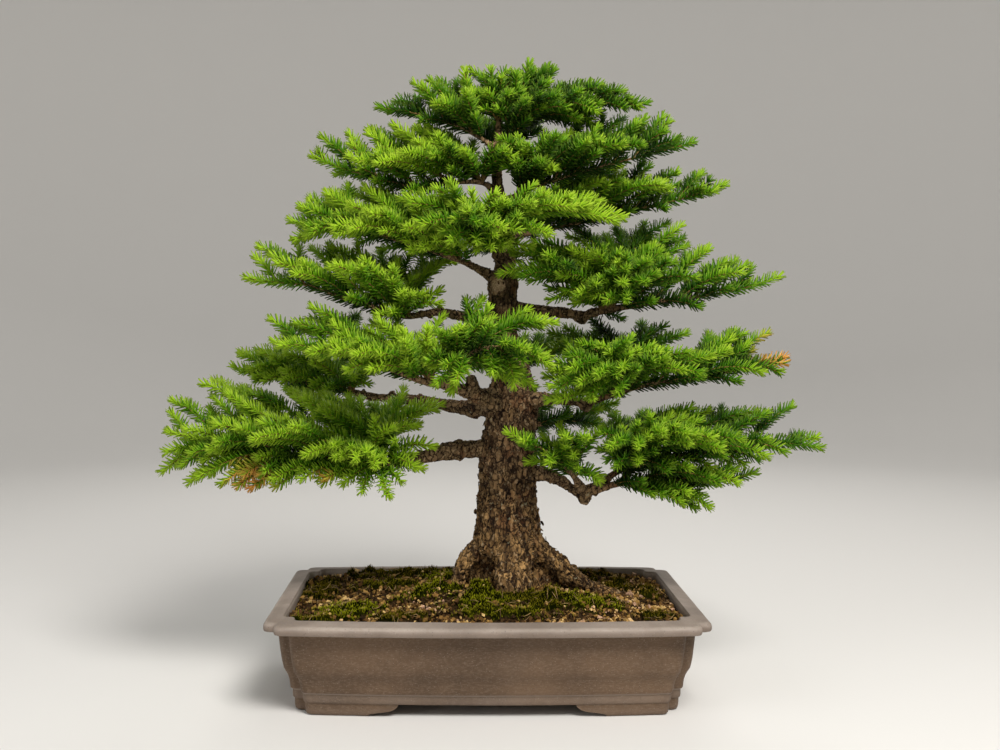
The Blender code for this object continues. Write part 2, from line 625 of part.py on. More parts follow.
def shoot(path, crowd, mates, rng, first):
    """A slim three-sided core with whorls of needles raised from it, and the places it takes."""
    whorls = min(MOST_WHORLS, max(1, int((path.length - first) / WHORL_GAP + 0.6)))
    gap = (path.length - first) / whorls
    lengths, phases = [0.0], [-1]
    for k in range(whorls):
        middle = first + gap * (k + WHORL_PLACE)
        lengths += [middle - NEEDLE_FOOT / 2, middle + NEEDLE_FOOT / 2]
        phases += [k, k]
    points, faces, taken = [], [(2, 1, 0)], []
    frames = path.frames(lengths)
    for (place, _, side, other), s, phase in zip(frames, lengths, phases):
        radius = SHOOT_RADII[0] + (SHOOT_RADII[1] - SHOOT_RADII[0]) * s / path.length
        for corner in range(SHOOT_SIDES):
            a = 2 * math.pi * corner / SHOOT_SIDES + phase * math.pi / SHOOT_SIDES
            points.append(place + radius * (math.cos(a) * side + math.sin(a) * other))
    for ring in range(len(lengths) - 1):
        low, high = SHOOT_SIDES * ring, SHOOT_SIDES * (ring + 1)
        if ring % 2 == 0:  # the core between whorls, turned by half a side
            for corner in range(SHOOT_SIDES):
                after = (corner + 1) % SHOOT_SIDES
                faces.append((low + corner, low + after, high + corner))
                faces.append((low + after, high + after, high + corner))
            continue
        _, ahead, _, _ = frames[ring]
        for corner in range(SHOOT_SIDES):
            after = (corner + 1) % SHOOT_SIDES
            square = (low + corner, low + after, high + after, high + corner)
            foot = sum(points[k] for k in square) / 4
            out = foot - (frames[ring][0] + frames[ring + 1][0]) / 2
            out = out / np.linalg.norm(out)
            lean = NEEDLE_ANGLE * rng.uniform(*ANGLE_SPREAD)
            size = NEEDLE_LENGTH * rng.uniform(*LENGTH_SPREAD)
            lift = np.array((0, 0, NEEDLE_LIFT))
            tip = foot + size * (math.cos(lean) * ahead + math.sin(lean) * out + lift)
            places = needle_places(foot, tip)
            if crowd.meets(places, NEEDLE_RADIUS) or mates.meets(places, 0.0):
                faces.append(square)
                continue
            points.append(tip)
            faces += [(square[k], square[(k + 1) % 4], len(points) - 1) for k in range(4)]
            taken += [(p, NEEDLE_RADIUS) for p in places]
    last = SHOOT_SIDES * (len(lengths) - 1)
    points.append(path.at(path.length) + path.heading(path.length) * BUD_LENGTH)
    for corner in range(SHOOT_SIDES):
        faces.append((last + corner, last + (corner + 1) % SHOOT_SIDES, len(points) - 1))
    taken += [(path.at(s), SHOOT_RADII[0]) for s in np.arange(0.0, path.length, CROWD_STEP)]
    return points, faces, taken


def shoot_path(limb_path, limb, tip):
    """The arched way of one shoot from its limb to its tip, and its length inside the limb."""
    target = np.array(tip[:3], float)
    if len(tip) > 3:
        s = tip[3] * limb_path.length
    else:
        lengths = np.linspace(limb["bare"], limb_path.length, 60)
        places = np.array([limb_path.at(s) for s in lengths])
        nearest = int(np.argmin(np.linalg.norm(places - target, axis=1)))
        off = np.linalg.norm(places[nearest] - target)
        s = lengths[nearest] - off / math.tan(SHOOT_ANGLE)
    leafy = limb_path.length - limb["bare"]
    earliest = limb["bare"] + min(9.0, 0.1 * leafy)
    s = min(max(s, earliest), limb["bare"] + LAST_ROOT_SHARE * leafy)
    root = limb_path.at(s)
    chord = target - root
    reach = np.linalg.norm(chord)
    lean = chord / reach * (1 - SHOOT_LEAN) + limb_path.heading(s) * SHOOT_LEAN
    middle = root + lean / np.linalg.norm(lean) * reach / 2 + np.array((0, 0, SHOOT_ARCH * reach))
    way = [(1 - t) ** 2 * root + 2 * t * (1 - t) * middle + t * t * target for t in np.linspace(0, 1, 15)]
    return Path(way, smooth=False), s


def clear_way(limb_path, limb, tip, crowd):
    """The shoot's way, with its tip moved by small steps until it is clear of every other piece."""
    turns = ((0, 0, 1), (0, 0, -1), (0, 1, 0), (0, -1, 0), (1, 0, 0), (-1, 0, 0), (0, 1, 1), (0, -1, 1))
    moves = [(0, 0, 0)]
    for step in range(1, MOST_NUDGES + 1):
        moves += [tuple(NUDGE * step * c for c in turn) for turn in turns]
    for move in moves:
        moved = tuple(np.array(tip[:3]) + move) + tuple(tip[3:])
        path, s = shoot_path(limb_path, limb, moved)
        inside = limb_radius(limb, limb_path, s)
        places = [path.at(k) for k in np.arange(inside, path.length + CROWD_STEP, CROWD_STEP)]
        if not crowd.meets(places, SHOOT_RADII[0]):
            return path, s
    return None, None


def make_spray(name, limb, crowd):
    """One leafy branch as one body: its green core, its shoots and their needles."""
    rng = random.Random(f"{SEED} {name}")
    path = Path(limb["route"])
    start = limb["bare"] + (GAP if limb["bare"] else 0.0)
    leafy = path.length - limb["bare"]
    end = limb["bare"] + TERMINAL_SHARE * leafy
    lengths = stops(path, start, end)
    radii = [limb_radius(limb, path, s) for s in lengths]
    points, faces = tube(path, lengths, radii, CORE_SIDES)
    spray = mesh_object(name, points, faces, "needles")
    taken = [(path.at(s), limb_radius(limb, path, s)) for s in np.arange(start, path.length, CROWD_STEP)]
    mates = Crowd()
    mates.add([p for p, _ in taken], [r for _, r in taken])
    parts = new_collection(name + "_shoots")
    last = Path([path.at(s) for s in np.linspace(end - LEADER_OVERLAP, path.length, 14)], smooth=False)
    points, faces, places = shoot(last, crowd, Crowd(), rng, LEADER_FIRST)
    mesh_object(name + "_leader", points, faces, "needles", parts)
    taken += places
    mates.add([p for p, _ in places], [r for _, r in places])
    for k, tip in enumerate(limb["tips"]):
        way, s = clear_way(path, limb, tip, crowd)
        if way is None:
            print(f"{name}: shoot {k} finds no clear way")
            continue
        first = limb_radius(limb, path, s) + FIRST_WHORL
        points, faces, places = shoot(way, crowd, mates, rng, first)
        mesh_object(f"{name}_{k}", points, faces, "needles", parts)
        taken += places
        mates.add([p for p, _ in places], [r for _, r in places])
    combine(spray, parts, "UNION")
    crowd.add([p for p, _ in taken], [r for _, r in taken])


def make_wood(crowd):
    """The trunk with its root flare, every limb's bare part and the cut-back stubs, grown as one piece."""
    rings = [trunk_row(*row) for row in TRUNK]
    points, faces = loft(rings, TRUNK_SIDES)
    wood = mesh_object("trunk", points, faces, "wood")
    for low, high in zip(TRUNK[:-1], TRUNK[1:]):
        rows = np.linspace(low, high, 8)
        crowd.add(rows[:, [1, 2, 0]], rows[:, 3] + BARK_RELIEF)
    limbs = new_collection("limbs")
    for name, limb in LIMBS.items():
        if not limb["bare"]:
            continue
        path = Path(limb["route"])
        lengths = stops(path, 0.0, limb["bare"])
        radii = [limb_radius(limb, path, s) for s in lengths]
        points, faces = tube(path, lengths, radii, LIMB_SIDES)
        mesh_object(name + "_limb", points, faces, "wood", limbs)
        dense = np.arange(0.0, limb["bare"] - limb["radii"][1] * 0.6, CROWD_STEP)
        crowd.add([path.at(s) for s in dense], [limb_radius(limb, path, s) for s in dense])
    for k, (foot, tip, wide, narrow) in enumerate(STUBS):
        way = Path([foot, tip], smooth=False)
        along, share = STUB_SHOULDER
        lengths, radii = (0.0, along * way.length, way.length), (wide, share * wide, narrow)
        points, faces = tube(way, lengths, radii, STUB_SIDES)
        mesh_object(f"stub_{k}", points, faces, "wood", limbs)
        balls = np.arange(0.0, way.length, CROWD_STEP)
        crowd.add([way.at(s) for s in balls], [wide] * len(balls))
    combine(wood, limbs, "UNION")


def main():
    clear_scene()
    crowd = Crowd()
    make_pot()
    make_screens()
    make_soil()
    make_wood(crowd)
    for name, limb in LIMBS.items():
        make_spray(name, limb, crowd)


main()
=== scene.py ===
# Conifer bonsai in a notched clay pot: the looks of each piece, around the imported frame.
import math

import bmesh
import bpy
import numpy as np
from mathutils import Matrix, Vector, noise
from mathutils.kdtree import KDTree


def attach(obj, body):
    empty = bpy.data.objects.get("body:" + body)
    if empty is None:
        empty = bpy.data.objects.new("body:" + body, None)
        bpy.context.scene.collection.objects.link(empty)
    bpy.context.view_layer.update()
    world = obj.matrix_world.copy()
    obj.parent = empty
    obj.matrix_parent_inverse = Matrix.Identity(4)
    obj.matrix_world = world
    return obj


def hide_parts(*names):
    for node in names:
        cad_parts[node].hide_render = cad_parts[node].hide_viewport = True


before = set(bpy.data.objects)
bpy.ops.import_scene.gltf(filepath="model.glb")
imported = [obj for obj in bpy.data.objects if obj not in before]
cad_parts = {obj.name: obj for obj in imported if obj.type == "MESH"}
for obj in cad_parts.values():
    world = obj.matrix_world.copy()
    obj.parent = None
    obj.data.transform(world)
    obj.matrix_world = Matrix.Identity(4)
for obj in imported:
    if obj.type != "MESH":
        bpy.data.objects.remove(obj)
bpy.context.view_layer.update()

# Without a seed of its own the vector noise would change with the clock.
noise.seed_set(5)

# Lengths are millimetres until a mesh is made. X is to the right, Y to the back, Z up from the ground.
mm = 0.001
shift = np.array((-12.0, -14.0, 0.0))  # from the pot's middle to the frame's origin
zUp = np.array((0.0, 0.0, 1.0))
goldenAngle = math.pi * (3 - math.sqrt(5))
square = ((-1, -1), (1, -1), (1, 1), (-1, 1))  # its corners, anticlockwise


# Shader wires

class Wire:
    # one socket, so that sums on it read as sums

    def __init__(self, finish, socket):
        self.finish = finish
        self.socket = socket

    def sum(self, operation, first, second):
        return self.finish.node("ShaderNodeMath", {"operation": operation}, {0: first, 1: second})

    def __add__(self, other):
        return self.sum("ADD", self, other)

    def __radd__(self, other):
        return self.sum("ADD", other, self)

    def __sub__(self, other):
        return self.sum("SUBTRACT", self, other)

    def __rsub__(self, other):
        return self.sum("SUBTRACT", other, self)

    def __mul__(self, other):
        return self.sum("MULTIPLY", self, other)

    def __rmul__(self, other):
        return self.sum("MULTIPLY", other, self)

    def __truediv__(self, other):
        return self.sum("DIVIDE", self, other)

    def __rtruediv__(self, other):
        return self.sum("DIVIDE", other, self)

    def clamp(self):
        return self.finish.node("ShaderNodeClamp", {}, {"Value": self})

    def between(self, low, high):
        # 0 below low, 1 above high, smooth between
        values = {"Value": self, "From Min": low, "From Max": high}
        return self.finish.node("ShaderNodeMapRange", {"interpolation_type": "SMOOTHSTEP"}, values)

    def band(self, low, full, fading, high):
        # 1 from full to fading, 0 below low and above high
        return self.between(low, full) * (1 - self.between(fading, high))

    def other(self, output):
        # another output of the same node
        return Wire(self.finish, self.socket.node.outputs[output])


class Finish:
    # one material; surface gives the shader's constant values

    def __init__(self, name, surface):
        self.material = bpy.data.materials.new(name)
        self.material.use_nodes = True
        self.tree = self.material.node_tree
        self.shader = self.tree.nodes["Principled BSDF"]
        for socket, value in surface.items():
            self.shader.inputs[socket].default_value = value

    def node(self, kind, settings, values, output=0):
        made = self.tree.nodes.new(kind)
        for key, value in settings.items():
            if key == "stops":
                self.setStops(made.color_ramp, value)
            else:
                setattr(made, key, value)
        for key, value in values.items():
            self.join(made.inputs[key], value)
        return Wire(self, made.outputs[output])

    def setStops(self, ramp, stops):
        for k, (place, colour) in enumerate(stops):
            element = ramp.elements[k] if k < 2 else ramp.elements.new(place)
            element.position = place
            element.color = (*colour, 1.0)

    def join(self, socket, value):
        if isinstance(value, Wire):
            self.tree.links.new(value.socket, socket)
        elif hasattr(value, "__len__") and socket.type == "RGBA" and len(value) == 3:
            socket.default_value = (*value, 1.0)
        else:
            socket.default_value = value

    def set(self, **values):
        names = {"colour": "Base Color", "roughness": "Roughness", "normal": "Normal"}
        for key, value in values.items():
            self.join(self.shader.inputs[names[key]], value)

    def mix(self, share, first, second):
        # colours 6 and 7 are the colour sockets of a Mix node, and its output 2 is the colour
        settings = {"data_type": "RGBA", "clamp_factor": True}
        return self.node("ShaderNodeMix", settings, {0: share, 6: first, 7: second}, 2)

    def ramp(self, share, stops):
        return self.node("ShaderNodeValToRGB", {"stops": stops}, {"Fac": share})

    def place(self):
        return self.node("ShaderNodeTexCoord", {}, {}, "Object")

    def stretched(self, scale):
        return self.vector("MULTIPLY", self.place(), scale)

    def value(self, name):
        return self.node("ShaderNodeAttribute", {"attribute_name": name}, {}, "Fac")

    def cloud(self, scale, detail=4.0, rough=0.55, vector=None):
        values = {"Vector": vector or self.place(), "Scale": scale, "Detail": detail, "Roughness": rough}
        return self.node("ShaderNodeTexNoise", {}, values, "Fac")

    def cells(self, scale, vector=None, feature="F1", output="Distance"):
        values = {"Vector": vector or self.place(), "Scale": scale}
        return self.node("ShaderNodeTexVoronoi", {"feature": feature}, values, output)

    def flakes(self, scale, stretch, wobble):
        # tilted cells: how far a spot of a flake stands out, the flake's tone and how far its edge is
        noisy = self.node("ShaderNodeTexNoise", {}, {"Vector": self.place(), "Scale": scale * 0.8}, "Color")
        shaken = self.vector("SCALE", noisy, None, wobble / scale)
        spot = self.vector("MULTIPLY", self.vector("ADD", self.place(), shaken), stretch)
        own = self.cells(scale, spot, output="Color")
        lean = self.vector("SUBTRACT", own, (0.5, 0.5, 0.5))
        middle = self.vector("SCALE", own.other("Position"), None, scale)
        away = self.vector("SUBTRACT", self.vector("SCALE", spot, None, scale), middle)
        edge = self.cells(scale, spot, "DISTANCE_TO_EDGE")
        return self.vector("DOT_PRODUCT", away, lean), self.red(own), edge

    def vector(self, operation, first, second, scale=None):
        values = {0: first}
        if second is not None:
            values[1] = second
        if scale is not None:
            values["Scale"] = scale
        output = "Value" if operation == "DOT_PRODUCT" else "Vector"
        return self.node("ShaderNodeVectorMath", {"operation": operation}, values, output)

    def height(self):
        return self.node("ShaderNodeSeparateXYZ", {}, {0: self.place()}, "Z")

    def red(self, colour):
        return self.node("ShaderNodeSeparateColor", {}, {0: colour}, "Red")

    def facing(self):
        # how much the surface looks up, from -1 to 1
        normal = self.node("ShaderNodeNewGeometry", {}, {}, "Normal")
        return self.node("ShaderNodeSeparateXYZ", {}, {0: normal}, "Z")

    def bump(self, height, distance, strength=1.0):
        values = {"Height": height, "Distance": distance, "Strength": strength}
        return self.node("ShaderNodeBump", {}, values)


# Meshes and pieces

def meshFrom(name, points, faces):
    # faces is an array with one row of corners a face, or a list of such arrays
    groups = faces if isinstance(faces, list) else [faces]
    mesh = bpy.data.meshes.new(name)
    placed = (np.asarray(points, float) + shift) * mm
    mesh.vertices.add(len(placed))
    mesh.vertices.foreach_set("co", placed.ravel())
    corners = np.concatenate([np.asarray(group).ravel() for group in groups]).astype(np.int32)
    sizes = np.concatenate([np.full(len(group), np.shape(group)[1]) for group in groups])
    mesh.loops.add(len(corners))
    mesh.loops.foreach_set("vertex_index", corners)
    mesh.polygons.add(len(sizes))
    starts = np.concatenate([[0], np.cumsum(sizes)[:-1]]).astype(np.int32)
    mesh.polygons.foreach_set("loop_start", starts)
    mesh.update(calc_edges=True)
    mesh.validate()
    return mesh


def objectFrom(name, mesh):
    made = bpy.data.objects.new(name, mesh)
    bpy.context.scene.collection.objects.link(made)
    return made


def addValues(mesh, values):
    for name, numbers in values.items():
        attribute = mesh.attributes.new(name, "FLOAT", "POINT")
        attribute.data.foreach_set("value", np.asarray(numbers, np.float32))


def makePiece(name, mesh, finish, nodes, smooth=True):
    piece = objectFrom(name, mesh)
    mesh.materials.append(finish.material)
    mesh.polygons.foreach_set("use_smooth", np.full(len(mesh.polygons), smooth))
    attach(piece, "root")
    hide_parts(*nodes)


def countTriangles(mesh):
    return sum(len(face.vertices) - 2 for face in mesh.polygons)


class Shape:
    # points, faces and values of many small forms, gathered into one mesh

    def __init__(self, names=()):
        self.points = []
        self.faces = {}
        self.values = {name: [] for name in names}
        self.count = 0

    def add(self, points, faces, **values):
        points = np.asarray(points, float).reshape(-1, 3)
        groups = faces if isinstance(faces, list) else [faces]
        for group in groups:
            group = np.asarray(group)
            self.faces.setdefault(group.shape[1], []).append(group + self.count)
        for name in self.values:
            self.values[name].append(np.broadcast_to(values[name], len(points)))
        self.points.append(points)
        self.count += len(points)

    def mesh(self, name):
        groups = [np.concatenate(rows) for rows in self.faces.values()]
        mesh = meshFrom(name, np.concatenate(self.points), groups)
        addValues(mesh, {key: np.concatenate(rows) for key, rows in self.values.items()})
        return mesh


def ringFaces(rings, sides):
    # quads between rings of the same number of points
    start = np.arange(rings - 1)[:, None] * sides
    low, after = start + np.arange(sides), start + (np.arange(sides) + 1) % sides
    return np.stack([low, after, after + sides, low + sides], axis=-1).reshape(-1, 4)


def tubeFaces(rings, sides):
    # the same, with one face over each end
    ends = [np.arange(sides)[::-1][None, :], (np.arange(sides) + (rings - 1) * sides)[None, :]]
    return [ringFaces(rings, sides)] + ends


def fanFaces(ring, middle):
    # triangles from a ring of points to one point
    return np.stack([ring, np.roll(ring, -1), np.full(len(ring), middle)], axis=-1)


def repeated(faces, corners, count):
    # the faces of one form with this many corners, for a row of such forms
    faces = np.array(faces)
    return (faces[None] + corners * np.arange(count)[:, None, None]).reshape(-1, faces.shape[1])


def appliedMesh(body):
    # a copy of the body's mesh with its modifiers applied
    return bpy.data.meshes.new_from_object(body.evaluated_get(bpy.context.evaluated_depsgraph_get()))


def readNormals(mesh):
    normals = np.empty(len(mesh.vertices) * 3, np.float32)
    mesh.vertex_normals.foreach_get("vector", normals)
    return normals.reshape(-1, 3).astype(float)


# Directions and paths

def unit(direction):
    return direction / np.linalg.norm(direction)


def unitRows(rows):
    return rows / np.linalg.norm(rows, axis=-1, keepdims=True)


def leaning(ahead, tilt, hand=1):
    # the direction to one side of a heading, tilted up by this angle
    level = unit(np.cross(ahead, zUp))
    return hand * level * math.cos(tilt) + np.cross(level, ahead) * math.sin(tilt)


def rowsAt(s, stations, rows):
    # rows of three numbers, read between the stations where they are known
    return np.stack([np.interp(s, stations, rows[:, k]) for k in range(3)], axis=-1)


def smoothRows(rows, perSpan):
    # a Catmull-Rom curve through rows of numbers
    rows = np.asarray(rows, float)
    ends = np.vstack([2 * rows[0] - rows[1], rows, 2 * rows[-1] - rows[-2]])
    made = []
    for a, b, c, d in zip(ends[:-3], ends[1:-2], ends[2:-1], ends[3:]):
        t = (np.arange(perSpan) / perSpan)[:, None]
        made.append(0.5 * (2 * b + (c - a) * t + (2 * a - 5 * b + 4 * c - d) * t**2
                           + (3 * b - a - 3 * c + d) * t**3))
    return np.vstack(made + [rows[-1:]])


class Path:
    # a curve read by its length

    def __init__(self, points, smooth=True):
        points = np.asarray(points, float)
        if smooth and len(points) > 2:
            points = smoothRows(points, 12)
        self.points = points
        self.lengths = np.concatenate([[0.0], np.cumsum(np.linalg.norm(np.diff(points, axis=0), axis=1))])
        self.length = self.lengths[-1]

    def at(self, s):
        return rowsAt(s, self.lengths, self.points)

    def heading(self, s):
        step = min(2.0, self.length / 4)
        return unitRows(self.at(np.minimum(self.length, s + step)) - self.at(np.maximum(0.0, s - step)))

    def frames(self, s):
        # at each length: the place, the heading and two directions across it, without twist
        s = np.asarray(s, float)
        places, ahead = self.at(s), self.heading(s)
        side = np.empty_like(ahead)
        current = np.cross(ahead[0], (0.13, 0.31, 0.94))
        for k, direction in enumerate(ahead):
            current = unit(current - direction * np.dot(current, direction))
            side[k] = current
        return places, ahead, side, np.cross(ahead, side)


def bentPath(root, middle, target, count):
    # from root to target, drawn towards the middle point
    t = np.linspace(0, 1, count)[:, None]
    return Path((1 - t) ** 2 * root + 2 * t * (1 - t) * middle + t * t * target, smooth=False)


def bowedPath(root, target, rise, count):
    return bentPath(root, (root + target) / 2 + zUp * rise, target, count)


def tubeRings(path, s, radii, sides):
    places, _, side, other = path.frames(s)
    turns = (2 * np.pi * np.arange(sides) / sides)[None, :, None]
    across = np.cos(turns) * side[:, None, :] + np.sin(turns) * other[:, None, :]
    return places[:, None, :] + np.asarray(radii)[:, None, None] * across


def addTube(shape, rings, **values):
    shape.add(rings, tubeFaces(*rings.shape[:2]), **values)


# The tree's skeleton

